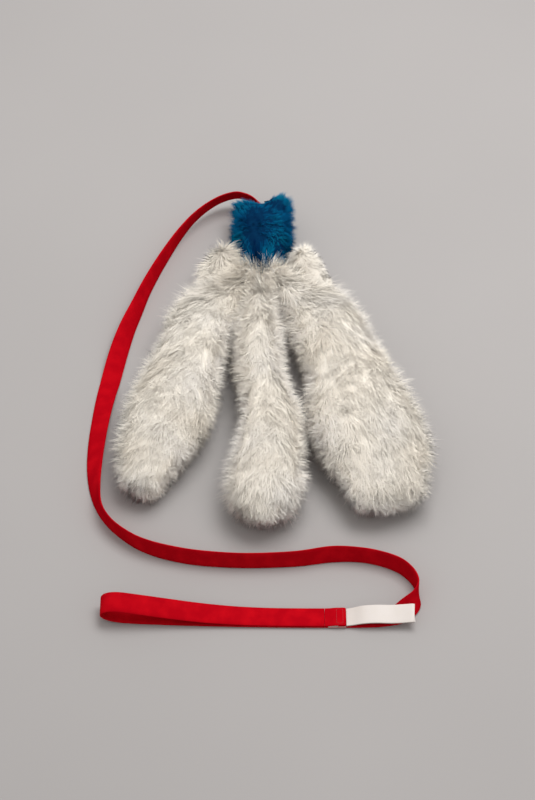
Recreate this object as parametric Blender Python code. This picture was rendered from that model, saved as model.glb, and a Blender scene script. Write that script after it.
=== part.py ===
# Dog chase toy: three sheepskin tails sewn into a dyed fur collar, on a flat webbing lead
# whose end is folded back and sewn into a hand loop with a ribbon label in the seam.
# Metres, +Z up. The toy lies on its back on a flat surface, head towards +Y, tails towards -Y.
# The origin is the middle of the collar's flat underside.

import math

import bmesh
import bpy
from mathutils import Vector

# Driving dimensions

CLEARANCE = 0.0003              # gap that neighbouring pieces keep
FLAT_CUT = 0.0005               # how deep the wool is pressed flat where it lies
SMOOTH_ANGLE = 40.0             # degrees, edges sharper than this stay sharp
SPAN_SAMPLES = 16               # samples between two points of a smooth path

# Webbing
WEBBING_WIDTH = 0.020
WEBBING_THICKNESS = 0.0018
WEBBING_EDGE = 0.0005           # rounding of the woven edges
LEAD_RINGS = 80                 # rings along the free lead
TWIST_RINGS = 14                # rings along its turn inside the collar
LOOP_RINGS = 64                 # rings round the hand loop
SEAM_EDGE_STEPS = 2             # steps of the seam's rounded edges

# Skin strips
SKIN_THICKNESS = 0.0018
SKIN_FOLD_GAP = 0.0006          # gap between the two layers of a folded strip
STRIP_ROOT_WIDTH = 0.012        # a folded strip where it is sewn in
STRIP_BODY_WIDTH = 0.022        # the same strip inside its tail
STRIP_WIDENING = 0.080          # distance from the flex line where it has its full width
STRIP_LANE_GAP = 0.0012         # between neighbouring strips in the collar
STRIP_SLOPE = 22.0              # degrees that the outer strips slope down beside the middle one
STRIP_LEVEL = 0.0238            # height of the middle strip, where it flexes
STRIP_HALF_THICKNESS = SKIN_THICKNESS + SKIN_FOLD_GAP / 2

# Collar
CORE_CENTRE_X = -0.004          # middle of the sewn core, under the notch
COLLAR_RIM_Y = -0.040           # lower rim, where the tails come out
COLLAR_CORE_TOP_Y = 0.004       # end of the stitched band, towards the lead
THROAT_TOP_Y = 0.036            # where the lead passes between the two lobes
SKIN_BAND_WALL = 0.0018
BAND_CORNER_STEPS = 3
BAND_INSET = 0.001              # how far inside the fur's rim the skin band ends
CREASE_GAP = 0.0008             # gap where the collar strip's two edges meet
CREASE_X = -0.010
THROAT_SPARE = 0.0025           # room for the lead's twist beyond its half width
THROAT_HALF = WEBBING_WIDTH / 2 + THROAT_SPARE
THROAT_CORNER = 0.0035
THROAT_CORNER_STEPS = 2
CUT_OVERRUN = 0.010
EXIT_SLOT_END_Y = 0.070
EXIT_SLOT_HALF_WIDTH = 0.0048
LEAD_LIFT_AT_EXIT = 0.0150       # height of the lead's lower edge, where it leaves
LEAD_LEVEL_AT_EXIT = LEAD_LIFT_AT_EXIT + WEBBING_WIDTH / 2
LEAD_TWIST_AT_EXIT = 102.0      # degrees from lying flat, as the route below starts
SEWN_OVERLAP = 0.030            # how far the webbing's end runs down beside the strips

# Flex lines of the tails
FLEX_LINE_Y = -0.0470
FLEX_GAP = 0.0005               # between a strip's sewn end and its moving part

# Hand loop
SEAM_X = 0.058                  # end of the open loop, start of the sewn seam
SEAM_LENGTH = 0.020
SEAM_Y = -0.478
LAYER_REST = 0.0002             # lift of the lowest layer off the surface
LABEL_LENGTH = 0.064
LABEL_WIDTH = 0.019
LABEL_THICKNESS = 0.0004
LABEL_FOLD_GAP = 0.0006
LABEL_RINGS = 48
# Side view of the ribbon: share of its length, roll in degrees, and height above its start
# as a share of the webbing's width.
LABEL_SIDE = [
    (0.00, 0, 0.00),
    (0.10, 2, 0.08),
    (0.25, 5, 0.23),
    (0.45, 6, 0.29),
    (0.65, 7, 0.27),
    (0.82, 8, 0.31),
    (0.97, 8, 0.37),
]


# Route of the free lead: x, y, turn of the webbing in degrees from lying flat, and the height
# that it is held above the surface. It is read from the collar to the sewn seam.
LEAD_ROUTE = [
    (-0.0052, 0.0450, LEAD_TWIST_AT_EXIT, LEAD_LIFT_AT_EXIT),
    (-0.0100, 0.0535, 110, 0.0148),
    (-0.0180, 0.0610, 114, 0.0140),
    (-0.0300, 0.0660, 115, 0.0125),
    (-0.0460, 0.0635, 111, 0.0090),
    (-0.0620, 0.0540, 105, 0.0055),
    (-0.0770, 0.0390, 98, 0.0025),
    (-0.0900, 0.0190, 90, 0.0008),
    (-0.1020, -0.0050, 82, 0.0),
    (-0.1145, -0.0340, 75, 0.0),
    (-0.1250, -0.0620, 68, 0.0),
    (-0.1335, -0.0890, 58, 0.0),
    (-0.1420, -0.1150, 45, 0.0),
    (-0.1490, -0.1420, 28, 0.0),
    (-0.1550, -0.1720, 10, 0.0),
    (-0.1600, -0.2010, -8, 0.0),
    (-0.1640, -0.2330, -20, 0.0),
    (-0.1670, -0.2690, -28, 0.0),
    (-0.1675, -0.3010, -40, 0.0),
    (-0.1650, -0.3310, -60, 0.0),
    (-0.1590, -0.3555, -82, 0.0),
    (-0.1475, -0.3740, -90, 0.0),
    (-0.1300, -0.3900, -88, 0.0),
    (-0.1130, -0.4000, -84, 0.0),
    (-0.0900, -0.4080, -80, 0.0),
    (-0.0600, -0.4140, -79, 0.0),
    (-0.0170, -0.4170, -81, 0.0),
    (0.0300, -0.4150, -79, 0.0),
    (0.0650, -0.4095, -75, 0.0),
    (0.0910, -0.4100, -80, 0.0),
    (0.1120, -0.4145, -80, 0.0),
    (0.1300, -0.4225, -78, 0.0),
    (0.1410, -0.4335, -80, 0.0),
    (0.1462, -0.4450, -86, 0.0),
    (0.1462, -0.4545, -100, 0.0),
    (0.1430, -0.4625, -124, 0.0),
    (0.1360, -0.4692, -150, 0.0),
    (0.1260, -0.4745, -171, 0.0),
    (0.1050, -0.4776, -180, 0.0),
    (SEAM_X + SEAM_LENGTH + CLEARANCE, SEAM_Y, -180, 0.0),
]

# Side view of the open hand loop, x and z of the webbing's middle, from the seam along the
# lower strand, round the fold and back to the seam, with the roll of its face in degrees.
LOOP_FLAT_LEVEL = LAYER_REST + WEBBING_THICKNESS / 2
LOOP_TOP_LEVEL = LOOP_FLAT_LEVEL + WEBBING_THICKNESS + 0.0005
LOOP_SIDE = [
    (SEAM_X - CLEARANCE, LOOP_FLAT_LEVEL, 0),
    (0.020, LOOP_FLAT_LEVEL, 0),
    (-0.040, LOOP_FLAT_LEVEL, 0),
    (-0.100, LOOP_FLAT_LEVEL, 0),
    (-0.128, LOOP_FLAT_LEVEL + 0.0004, 0),
    (-0.1445, 0.0042, 1),
    (-0.1525, 0.0110, 4),
    (-0.1490, 0.0185, 8),
    (-0.1370, 0.0213, 11),
    (-0.1150, 0.0180, 13),
    (-0.0900, 0.0135, 13),
    (-0.0600, 0.0085, 9),
    (-0.0300, 0.0052, 4),
    (0.0000, LOOP_TOP_LEVEL + 0.0003, 1),
    (0.0300, LOOP_TOP_LEVEL, 0),
    (SEAM_X - CLEARANCE, LOOP_TOP_LEVEL, 0),
]
LOOP_SWEEP_Y = 0.006            # how far the loop's fold lies towards +Y of the seam
LOOP_LENGTH = 0.210

# The tails: each station is the middle's x and y, the half width, and the height of the top.
# The first stations are the thin neck by the collar, and the last one is followed by a round end.
NECK_START = 0.012              # where the wool begins, from the flex line
NECK_LENGTH = 0.005
NECK_HALF_WIDTH = 0.0080
NECK_HALF_HEIGHT = 0.0044
# Under the first two stations: height of the wool's bottom, share of the root's roll.
NECK_BOTTOMS = ((0.0120, 0.6), (0.0015, 0.1))
TAIL_LEFT = [
    (-0.0310, -0.0730, 0.0115, 0.0300),
    (-0.0490, -0.0950, 0.0270, 0.0430),
    (-0.0650, -0.1250, 0.0335, 0.0530),
    (-0.0765, -0.1680, 0.0375, 0.0580),
    (-0.0870, -0.2130, 0.0430, 0.0600),
    (-0.0970, -0.2600, 0.0450, 0.0600),
    (-0.1055, -0.3000, 0.0410, 0.0560),
    (-0.1140, -0.3320, 0.0310, 0.0480),
]
TAIL_LEFT_CAP = 0.025
TAIL_MIDDLE = [
    (-0.0040, -0.0730, 0.0090, 0.0310),
    (-0.0045, -0.0930, 0.0130, 0.0450),
    (-0.0060, -0.1300, 0.0195, 0.0550),
    (-0.0040, -0.1750, 0.0240, 0.0590),
    (0.0010, -0.2180, 0.0270, 0.0610),
    (0.0050, -0.2600, 0.0330, 0.0630),
    (0.0035, -0.3060, 0.0370, 0.0640),
    (0.0015, -0.3460, 0.0375, 0.0600),
]
TAIL_MIDDLE_CAP = 0.045
TAIL_RIGHT = [
    (0.0245, -0.0720, 0.0118, 0.0305),
    (0.0445, -0.0940, 0.0270, 0.0450),
    (0.0635, -0.1250, 0.0370, 0.0570),
    (0.0765, -0.1680, 0.0425, 0.0630),
    (0.0890, -0.2120, 0.0490, 0.0650),
    (0.1000, -0.2560, 0.0530, 0.0660),
    (0.1100, -0.3020, 0.0545, 0.0640),
    (0.1165, -0.3400, 0.0440, 0.0560),
]
TAIL_RIGHT_CAP = 0.034
WOOL_SEGMENTS = 24
WOOL_POWER = 2.3                # 2 is an ellipse, more is squarer
WOOL_STATIONS = 20
CAP_RINGS = 5
CAP_ANGLE = 84.0                # degrees of the round end that are drawn, then it is closed
CAP_END_HEIGHT = 0.004
CAP_LIFT = 1.5                  # power by which the underside rises at a round end
STRIP_RINGS = 14
STRIP_SAMPLES = 100             # fine samples that the strip's rings are picked from
TURNED_EDGE_SIDES = 16
STRIP_END = 0.86                # share of the tail's length that the skin strip fills

# The collar's fur: each ring is y, middle x, half width, bottom and top.
COLLAR_BODY = [
    (-0.0400, -0.0035, 0.0245, 0.0080, 0.0360),
    (-0.0360, -0.0030, 0.0265, 0.0040, 0.0410),
    (-0.0280, -0.0015, 0.0290, -FLAT_CUT, 0.0455),
    (-0.0120, -0.0010, 0.0315, -FLAT_CUT, 0.0480),
    (0.0080, -0.0010, 0.0325, -FLAT_CUT, 0.0480),
    (0.0240, -0.0010, 0.0310, -FLAT_CUT, 0.0460),
    (0.0360, -0.0010, 0.0260, 0.0030, 0.0420),
    (0.0430, -0.0010, 0.0190, 0.0090, 0.0360),
]
LEFT_LOBE = (-0.0185, 0.0345, 0.0250)
LEFT_LOBE_RADII = (0.0150, 0.0145, 0.0200)
RIGHT_LOBE = (0.0145, 0.0385, 0.0260)
RIGHT_LOBE_RADII = (0.0165, 0.0185, 0.0210)
LOBE_SEGMENTS = 20
LOBE_RINGS = 12
COLLAR_SPARE = 0.00045          # how far the shoulders are cut back from the collar

# The wool of the sewn ends, pushed out beside the collar: middle x and y, half width, top.
LEFT_SHOULDER = [
    (-0.0440, -0.0120, 0.0080, 0.0330),
    (-0.0460, -0.0220, 0.0150, 0.0400),
    (-0.0480, -0.0340, 0.0190, 0.0370),
    (-0.0530, -0.0460, 0.0180, 0.0280),
    (-0.0590, -0.0570, 0.0140, 0.0180),
]
RIGHT_SHOULDER = [
    (0.0420, -0.0120, 0.0080, 0.0330),
    (0.0440, -0.0220, 0.0150, 0.0400),
    (0.0480, -0.0340, 0.0195, 0.0370),
    (0.0550, -0.0460, 0.0185, 0.0280),
    (0.0630, -0.0570, 0.0155, 0.0170),
]
SHOULDER_CAP = 0.006
SHOULDER_RINGS = 9
SHOULDER_CAP_RINGS = 3


# Shared helpers

def clear_scene():
    for old in list(bpy.data.objects):
        bpy.data.objects.remove(old, do_unlink=True)


def make_material(name, colour, roughness):
    material = bpy.data.materials.new(name)
    material.use_nodes = True
    shader = material.node_tree.nodes["Principled BSDF"]
    shader.inputs["Base Color"].default_value = (*colour, 1.0)
    shader.inputs["Roughness"].default_value = roughness
    shader.inputs["Metallic"].default_value = 0.0
    return material


def add_object(name, bm, material=None, smooth=True):
    """A mesh object from a bmesh, with its faces pointing out."""
    bmesh.ops.recalc_face_normals(bm, faces=bm.faces)
    mesh = bpy.data.meshes.new(name)
    bm.to_mesh(mesh)
    bm.free()
    if smooth:
        mesh.shade_smooth()
        mesh.set_sharp_from_angle(angle=math.radians(SMOOTH_ANGLE))
    obj = bpy.data.objects.new(name, mesh)
    bpy.context.scene.collection.objects.link(obj)
    if material:
        obj.data.materials.append(material)
    return obj


def add_cutter(name, bm):
    """A tool for a Boolean: drawn as wire and left out of renders."""
    cutter = add_object(name, bm, smooth=False)
    cutter.hide_render = True
    cutter.display_type = "WIRE"
    return cutter


def boolean(obj, tool, operation="DIFFERENCE"):
    modifier = obj.modifiers.new(tool.name, "BOOLEAN")
    modifier.operation = operation
    modifier.solver = "EXACT"
    modifier.object = tool


def smooth_path(points):
    """A Catmull-Rom curve through points of any number of values each."""
    out = []
    last = len(points) - 1
    for i in range(last):
        p0, p1, p2, p3 = points[max(i - 1, 0)], points[i], points[i + 1], points[min(i + 2, last)]
        for k in range(SPAN_SAMPLES):
            t = k / SPAN_SAMPLES
            out.append(tuple(
                0.5 * (2 * b + (c - a) * t + (2 * a - 5 * b + 4 * c - d) * t * t
                       + (3 * b - a - 3 * c + d) * t ** 3)
                for a, b, c, d in zip(p0, p1, p2, p3)))
    out.append(tuple(points[-1]))
    return out


def even_samples(points, count, axes):
    """The curve's points again, evenly spaced along its length in the first few values."""
    lengths = [0.0]
    for a, b in zip(points, points[1:]):
        lengths.append(lengths[-1] + math.dist(a[:axes], b[:axes]))
    out, i = [], 0
    for k in range(count):
        goal = lengths[-1] * k / (count - 1)
        while i < len(lengths) - 2 and lengths[i + 1] < goal:
            i += 1
        span = lengths[i + 1] - lengths[i]
        t = (goal - lengths[i]) / span if span else 0.0
        out.append(tuple(a + (b - a) * t for a, b in zip(points[i], points[i + 1])))
    return out


def sweep(rings, close_ends=True):
    """Extrude the first ring through all the others, and close both ends."""
    bm = bmesh.new()
    first = [bm.verts.new(p) for p in rings[0]]
    for a, b in zip(first, first[1:] + first[:1]):
        bm.edges.new((a, b))
    current = first
    for ring in rings[1:]:
        edges = [e for v in current for e in v.link_edges if e.other_vert(v) in current]
        made = bmesh.ops.extrude_edge_only(bm, edges=list(set(edges)))["geom"]
        new = {g for g in made if isinstance(g, bmesh.types.BMVert)}
        step = []
        for v in current:
            step.append(next(e.other_vert(v) for e in v.link_edges if e.other_vert(v) in new))
        for v, p in zip(step, ring):
            v.co = p
        current = step
    if close_ends:
        bm.faces.new(first)
        bm.faces.new(current)
    return bm


def webbing_profile():
    """The webbing's outline as (across, through) pairs, going round."""
    w = WEBBING_WIDTH / 2
    t = WEBBING_THICKNESS / 2
    c = WEBBING_EDGE
    return [(w, -t + c), (w, t - c), (w - c, t), (-w + c, t),
            (-w, t - c), (-w, -t + c), (-w + c, -t), (w - c, -t)]


def webbing_rings(middles, widths, profile):
    """Rings round a strap whose width lies along the given direction at each point."""
    rings = []
    last = len(middles) - 1
    for i, (middle, width) in enumerate(zip(middles, widths)):
        tangent = (middles[min(i + 1, last)] - middles[max(i - 1, 0)]).normalized()
        across = (width - tangent * width.dot(tangent)).normalized()
        through = tangent.cross(across)
        rings.append([middle + across * u + through * v for u, v in profile])
    return rings


def superellipse(angle, half_width, half_height, power):
    c, s = math.cos(angle), math.sin(angle)
    return (half_width * math.copysign(abs(c) ** (2 / power), c),
            half_height * math.copysign(abs(s) ** (2 / power), s))


def soft_ring(middle, across, half_width, bottom, top, up=Vector((0, 0, 1))):
    """A ring of a soft form: a superellipse between its bottom and its top."""
    level, half_height = (bottom + top) / 2, (top - bottom) / 2
    centre = Vector((middle[0], middle[1], level))
    ring = []
    for k in range(WOOL_SEGMENTS):
        angle = 2 * math.pi * k / WOOL_SEGMENTS - math.pi / 2
        u, v = superellipse(angle, half_width, half_height, WOOL_POWER)
        ring.append(centre + across * u + up * v)
    return ring


def press_flat(bm):
    """Cut the form off at the surface that it lies on."""
    geom = bm.verts[:] + bm.edges[:] + bm.faces[:]
    cut = bmesh.ops.bisect_plane(bm, geom=geom, dist=1e-7, plane_co=(0, 0, 0),
                                 plane_no=(0, 0, 1), clear_inner=True)
    edges = [g for g in cut["geom_cut"] if isinstance(g, bmesh.types.BMEdge)]
    bmesh.ops.holes_fill(bm, edges=edges, sides=0)


# Webbing pieces

def lead_samples():
    """Middle and width direction at each ring of the free lead."""
    path = even_samples(smooth_path(LEAD_ROUTE), LEAD_RINGS, 2)
    middles, widths = [], []
    last = len(path) - 1
    for i, (x, y, turn, lift) in enumerate(path):
        ahead, behind = path[min(i + 1, last)], path[max(i - 1, 0)]
        run = Vector((ahead[0] - behind[0], ahead[1] - behind[1], 0)).normalized()
        left = Vector((-run.y, run.x, 0))
        angle = math.radians(turn)
        face = Vector((0, 0, 1)) * math.cos(angle) + left * math.sin(angle)
        height = (WEBBING_WIDTH / 2 * abs(math.sin(angle))
                  + WEBBING_THICKNESS / 2 * abs(math.cos(angle)) + LAYER_REST + lift)
        middles.append(Vector((x, y, height)))
        widths.append(run.cross(face))
    return middles, widths


def build_lead(material):
    middles, widths = lead_samples()
    length = sum((b - a).length for a, b in zip(middles, middles[1:]))
    print(f"free lead: {length:.3f} m from the collar to the hand loop's seam")
    add_object("lead_webbing", sweep(webbing_rings(middles, widths, webbing_profile())), material)
    return middles[0], (middles[1] - middles[0]).normalized(), widths[0]


def build_lead_sewn_end(material, lead_start):
    """The webbing's end: flat over the strips, then turned on edge to leave the notch."""
    exit_point, exit_run, exit_width = lead_start
    level = webbing_level()
    start = Vector((CORE_CENTRE_X, COLLAR_CORE_TOP_Y - SEWN_OVERLAP, level))
    turn_start = Vector((CORE_CENTRE_X, COLLAR_CORE_TOP_Y, level))
    end = exit_point - exit_run * CLEARANCE
    reach = (end - turn_start).length / 3
    handles = (turn_start, turn_start + Vector((0, reach, 0)), end - exit_run * reach, end)
    middles, widths = [start], [Vector((1, 0, 0))]
    for k in range(TWIST_RINGS + 1):
        t = k / TWIST_RINGS
        s = 1 - t
        weights = (s ** 3, 3 * s * s * t, 3 * s * t * t, t ** 3)
        middles.append(sum((h * w for h, w in zip(handles, weights)), Vector((0, 0, 0))))
        angle = math.radians(LEAD_TWIST_AT_EXIT) * t * t * (3 - 2 * t)
        widths.append(Vector((math.cos(angle), 0, math.sin(angle))))
    rings = webbing_rings(middles, widths, webbing_profile())
    last = webbing_rings([end, exit_point], [exit_width, exit_width], webbing_profile())[0]
    add_object("lead_sewn_end", sweep(rings[:-1] + [last]), material)


def build_hand_loop(material):
    path = even_samples(smooth_path(LOOP_SIDE), LOOP_RINGS, 2)
    middles, widths = [], []
    for x, z, roll in path:
        along = (SEAM_X - x) / LOOP_LENGTH
        middles.append(Vector((x, SEAM_Y + LOOP_SWEEP_Y * along * along, z)))
        angle = math.radians(roll)
        widths.append(Vector((0, math.cos(angle), math.sin(angle))))
    add_object("hand_loop", sweep(webbing_rings(middles, widths, webbing_profile())), material)


def build_loop_seam(material):
    """Both strands of the hand loop sewn together, with the lead's end running into them."""
    bottom = LAYER_REST
    top = LOOP_TOP_LEVEL + WEBBING_THICKNESS / 2
    bm = bmesh.new()
    bmesh.ops.create_cube(bm, size=1.0)
    bmesh.ops.scale(bm, vec=(SEAM_LENGTH, WEBBING_WIDTH, top - bottom), verts=bm.verts)
    bmesh.ops.translate(bm, vec=(SEAM_X + SEAM_LENGTH / 2, SEAM_Y, (top + bottom) / 2),
                        verts=bm.verts)
    long_edges = [e for e in bm.edges
                  if abs(e.verts[0].co.x - e.verts[1].co.x) > SEAM_LENGTH / 2]
    bmesh.ops.bevel(bm, geom=long_edges, offset=WEBBING_EDGE, segments=SEAM_EDGE_STEPS,
                    profile=0.5, affect="EDGES")
    add_object("loop_seam", bm, material)


def build_label(material):
    """A folded ribbon: out from the seam, round its fold and back, over the lead's end."""
    start_x = SEAM_X + SEAM_LENGTH + CLEARANCE
    low = LAYER_REST + WEBBING_THICKNESS + CLEARANCE + LABEL_THICKNESS
    spread = (LABEL_THICKNESS + LABEL_FOLD_GAP) / 2
    out = [(start_x + LABEL_LENGTH * share, low + WEBBING_WIDTH * rise, roll)
           for share, roll, rise in LABEL_SIDE]
    back = [(x, z + 2 * spread, roll) for x, z, roll in reversed(out)]
    end_x, end_z, end_roll = out[-1]
    fold = [(start_x + LABEL_LENGTH, end_z + spread, end_roll)]
    path = even_samples(smooth_path(out + fold + back), LABEL_RINGS, 2)
    w, t = LABEL_WIDTH / 2, LABEL_THICKNESS / 2
    profile = [(w, -t), (w, t), (-w, t), (-w, -t)]
    middles, widths = [], []
    for x, z, roll in path:
        angle = math.radians(roll)
        middles.append(Vector((x, SEAM_Y, z)))
        widths.append(Vector((0, math.cos(angle), math.sin(angle))))
    add_object("loop_label", sweep(webbing_rings(middles, widths, profile)), material)


# Collar

def build_collar_form(name, spare, cutter):
    """The collar's outer form, grown by a spare all round when it is used as a tool."""
    rings = []
    across = Vector((1, 0, 0))
    for y, x, half_width, bottom, top in COLLAR_BODY:
        rings.append(soft_ring((x, y), across, half_width + spare, bottom - spare, top + spare))
    if cutter:
        first, last = rings[0], rings[-1]
        rings.insert(0, [p - Vector((0, spare, 0)) for p in first])
        rings.append([p + Vector((0, spare, 0)) for p in last])
        return add_cutter(name, sweep(rings))
    bm = sweep(rings)
    press_flat(bm)
    return add_object(name, bm)


def build_lobe(name, middle, radii):
    bm = bmesh.new()
    bmesh.ops.create_uvsphere(bm, u_segments=LOBE_SEGMENTS, v_segments=LOBE_RINGS,
                              radius=1.0)
    bmesh.ops.scale(bm, vec=radii, verts=bm.verts)
    bmesh.ops.translate(bm, vec=middle, verts=bm.verts)
    return add_cutter(name, bm)


def lane_across(lane):
    """The direction across a strip's sewn end, to the right."""
    slope = math.radians(STRIP_SLOPE) * lane
    return Vector((math.cos(slope), 0, -math.sin(slope)))


def lane_normal(lane):
    """The direction square to the face of a strip's sewn end."""
    slope = math.radians(STRIP_SLOPE) * lane
    return Vector((math.sin(slope), 0, math.cos(slope)))


def lane_middle(lane):
    """Middle of a strip's section inside the collar, as an x and z offset at y = 0."""
    half = STRIP_ROOT_WIDTH / 2
    inner_edge = Vector((lane * (half + STRIP_LANE_GAP), 0, 0))
    outward = lane_across(lane) * half * lane
    return Vector((CORE_CENTRE_X, 0, STRIP_LEVEL)) + (inner_edge + outward) * abs(lane)


def webbing_level():
    """Height of the webbing's middle where it lies on the strips."""
    return STRIP_LEVEL + STRIP_HALF_THICKNESS + CLEARANCE + WEBBING_THICKNESS / 2


def core_corners():
    """The corners that the skin band is drawn round, from the webbing's left one."""
    top = webbing_level() + WEBBING_THICKNESS / 2
    half = STRIP_ROOT_WIDTH / 2
    sides = []
    for lane in (-1, 1):
        edge = lane_middle(lane) + lane_across(lane) * half * lane
        depth = lane_normal(lane) * STRIP_HALF_THICKNESS
        sides.append((edge + depth, edge - depth))
    (left_top, left_bottom), (right_top, right_bottom) = sides
    return [Vector((CORE_CENTRE_X - WEBBING_WIDTH / 2, 0, top)), left_top, left_bottom,
            right_bottom, right_top, Vector((CORE_CENTRE_X + WEBBING_WIDTH / 2, 0, top))]


def band_outline(distance):
    """The core's corners moved out by a distance, with round corners, at y = 0."""
    corners = core_corners()
    outline = []
    for i, corner in enumerate(corners):
        before, after = corners[i - 1], corners[(i + 1) % len(corners)]
        start = math.atan2(before.x - corner.x, corner.z - before.z)
        end = math.atan2(corner.x - after.x, after.z - corner.z)
        if end < start:
            end += 2 * math.pi
        for k in range(BAND_CORNER_STEPS + 1):
            angle = start + (end - start) * k / BAND_CORNER_STEPS
            outline.append(corner + Vector((math.cos(angle), 0, math.sin(angle))) * distance)
    return outline


def build_collar_skin(material):
    """The skin side of the collar strip: a flat band round the core, open along its crease."""
    inner = band_outline(CLEARANCE)
    outer = band_outline(CLEARANCE + SKIN_BAND_WALL)
    edges = (CREASE_X - CREASE_GAP / 2, CREASE_X + CREASE_GAP / 2)
    section = []
    for outline, order in ((outer, 1), (inner, -1)):
        level = outline[0].z
        closed = [Vector((edges[0], 0, level))] + outline + [Vector((edges[1], 0, level))]
        section += closed[::order]
    rings = []
    for y in (COLLAR_RIM_Y + BAND_INSET, COLLAR_CORE_TOP_Y):
        rings.append([Vector((p.x, y, p.z)) for p in section])
    add_object("collar_skin", sweep(rings), material)


def rounded_box_ring(y, half_width):
    """An upright ring across the collar: a box with round corners, at the lead's level."""
    ring = []
    for x_side, z_side, start in ((1, 1, 0), (-1, 1, 90), (-1, -1, 180), (1, -1, 270)):
        x = CORE_CENTRE_X + x_side * (half_width - THROAT_CORNER)
        z = LEAD_LEVEL_AT_EXIT + z_side * (THROAT_HALF - THROAT_CORNER)
        for k in range(THROAT_CORNER_STEPS + 1):
            angle = math.radians(start + 90 * k / THROAT_CORNER_STEPS)
            ring.append(Vector((x + THROAT_CORNER * math.cos(angle), y,
                                z + THROAT_CORNER * math.sin(angle))))
    return ring


def build_band_room():
    """The room in the collar's fur for the skin band, open at the rim."""
    outline = band_outline(2 * CLEARANCE + SKIN_BAND_WALL)
    ends = (COLLAR_RIM_Y - CUT_OVERRUN, COLLAR_CORE_TOP_Y + CLEARANCE)
    rings = [[Vector((p.x, y, p.z)) for p in outline] for y in ends]
    return add_cutter("band_room", sweep(rings))


def build_lead_room(name, start_y, end_y, half_width):
    return add_cutter(name, sweep([rounded_box_ring(y, half_width) for y in (start_y, end_y)]))


def build_collar(fur_material):
    form = build_collar_form("collar_fur", 0.0, False)
    form.data.materials.append(fur_material)
    boolean(form, build_lobe("left_lobe_form", LEFT_LOBE, LEFT_LOBE_RADII), "UNION")
    boolean(form, build_lobe("right_lobe_form", RIGHT_LOBE, RIGHT_LOBE_RADII), "UNION")
    boolean(form, build_band_room())
    boolean(form, build_lead_room("throat", COLLAR_CORE_TOP_Y - CLEARANCE, THROAT_TOP_Y,
                                  THROAT_HALF))
    boolean(form, build_lead_room("exit_slot", THROAT_TOP_Y - CLEARANCE, EXIT_SLOT_END_Y,
                                  EXIT_SLOT_HALF_WIDTH))


# Tails

def flex_point(lane):
    """The middle of a strip's flex line: lane is -1, 0 or 1 from left to right."""
    return lane_middle(lane) + Vector((0, FLEX_LINE_Y, 0))


def tail_direction(stations, lane):
    root = flex_point(lane)
    tip = stations[-1]
    return Vector((tip[0] - root.x, tip[1] - root.y, 0)).normalized()


def flex_axis(stations, lane):
    """The line that a strip flexes about, to the right: along its face, square to its tail."""
    across = lane_across(lane)
    direction = tail_direction(stations, lane)
    return Vector((across.x, -across.x * direction.x / direction.y, across.z)).normalized()


def level_across(run):
    return Vector((-run.y, run.x, 0))


def rolled(run, roll):
    """Across and up directions of a section square to its run, rolled about it."""
    across = level_across(run) * math.cos(roll) + Vector((0, 0, math.sin(roll)))
    return across, run.cross(across)


def runs_along(points, first):
    """The level direction of travel at each point of a path."""
    out = []
    last = len(points) - 1
    for i in range(last + 1):
        ahead, behind = points[min(i + 1, last)], points[max(i - 1, 0)]
        out.append(Vector((ahead[0] - behind[0], ahead[1] - behind[1], 0)).normalized())
    out[0] = first
    return out


def tail_path(stations, lane):
    """Samples along the wool: x, y, half width, top, bottom and share of the root's roll."""
    direction = tail_direction(stations, lane)
    root = flex_point(lane)
    neck = []
    for distance in (NECK_START, NECK_START + NECK_LENGTH):
        p = root + direction * distance
        neck.append((p.x, p.y, NECK_HALF_WIDTH, p.z + NECK_HALF_HEIGHT, p.z - NECK_HALF_HEIGHT, 1))
    swelling = [s + rest for s, rest in zip(stations, NECK_BOTTOMS)]
    body = [s + (-FLAT_CUT, 0) for s in stations[len(NECK_BOTTOMS):]]
    return even_samples(smooth_path(neck + swelling + body), WOOL_STATIONS, 2)


def round_end(station, across, reach, count):
    """Rings of a soft form's round end, from its last station outwards."""
    x, y, half_width, top = station
    level = (top - FLAT_CUT) / 2
    rings = []
    for k in range(1, count + 1):
        angle = math.radians(CAP_ANGLE) * k / count
        shrink = math.cos(angle)
        ahead = reach * math.sin(angle)
        low = -FLAT_CUT + level * (1 - shrink) ** CAP_LIFT
        high = max(level + (top - level) * shrink, low + CAP_END_HEIGHT)
        rings.append(soft_ring((x + ahead.x, y + ahead.y), across, half_width * shrink, low, high))
    return rings


def build_wool(name, stations, lane, cap, material):
    path = tail_path(stations, lane)
    roll = math.asin(flex_axis(stations, lane).z)
    runs = runs_along(path, tail_direction(stations, lane))
    rings = []
    for (x, y, half_width, top, bottom, share), run in zip(path, runs):
        across, up = rolled(run, roll * max(share, 0))
        rings.append(soft_ring((x, y), across, half_width, max(bottom, -FLAT_CUT), top, up))
    rings += round_end((x, y, half_width, top), level_across(run), run * cap, CAP_RINGS)
    bm = sweep(rings)
    press_flat(bm)
    wool = add_object(name, bm, material)
    boolean(wool, build_strip_room(name + "_hollow", stations, lane))


def strip_sections(stations, lane):
    """Middle, across, up and half width at each ring of the moving strip."""
    direction = tail_direction(stations, lane)
    root = flex_point(lane)
    neck = [tuple(root + direction * d)[:2] for d in (0.0, NECK_START + NECK_LENGTH)]
    samples = even_samples(smooth_path(neck + [s[:2] for s in stations]), STRIP_SAMPLES, 2)
    picked = even_samples(samples[:int(STRIP_SAMPLES * STRIP_END)], STRIP_RINGS, 2)
    roll = math.asin(flex_axis(stations, lane).z)
    out = []
    for (x, y), run in zip(picked, runs_along(picked, direction)):
        grow = min(1.0, math.dist((x, y), (root.x, root.y)) / STRIP_WIDENING)
        grow = grow * grow * (3 - 2 * grow)
        half = (STRIP_ROOT_WIDTH + (STRIP_BODY_WIDTH - STRIP_ROOT_WIDTH) * grow) / 2
        out.append((Vector((x, y, root.z)), *rolled(run, roll), half))
    return out


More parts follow.
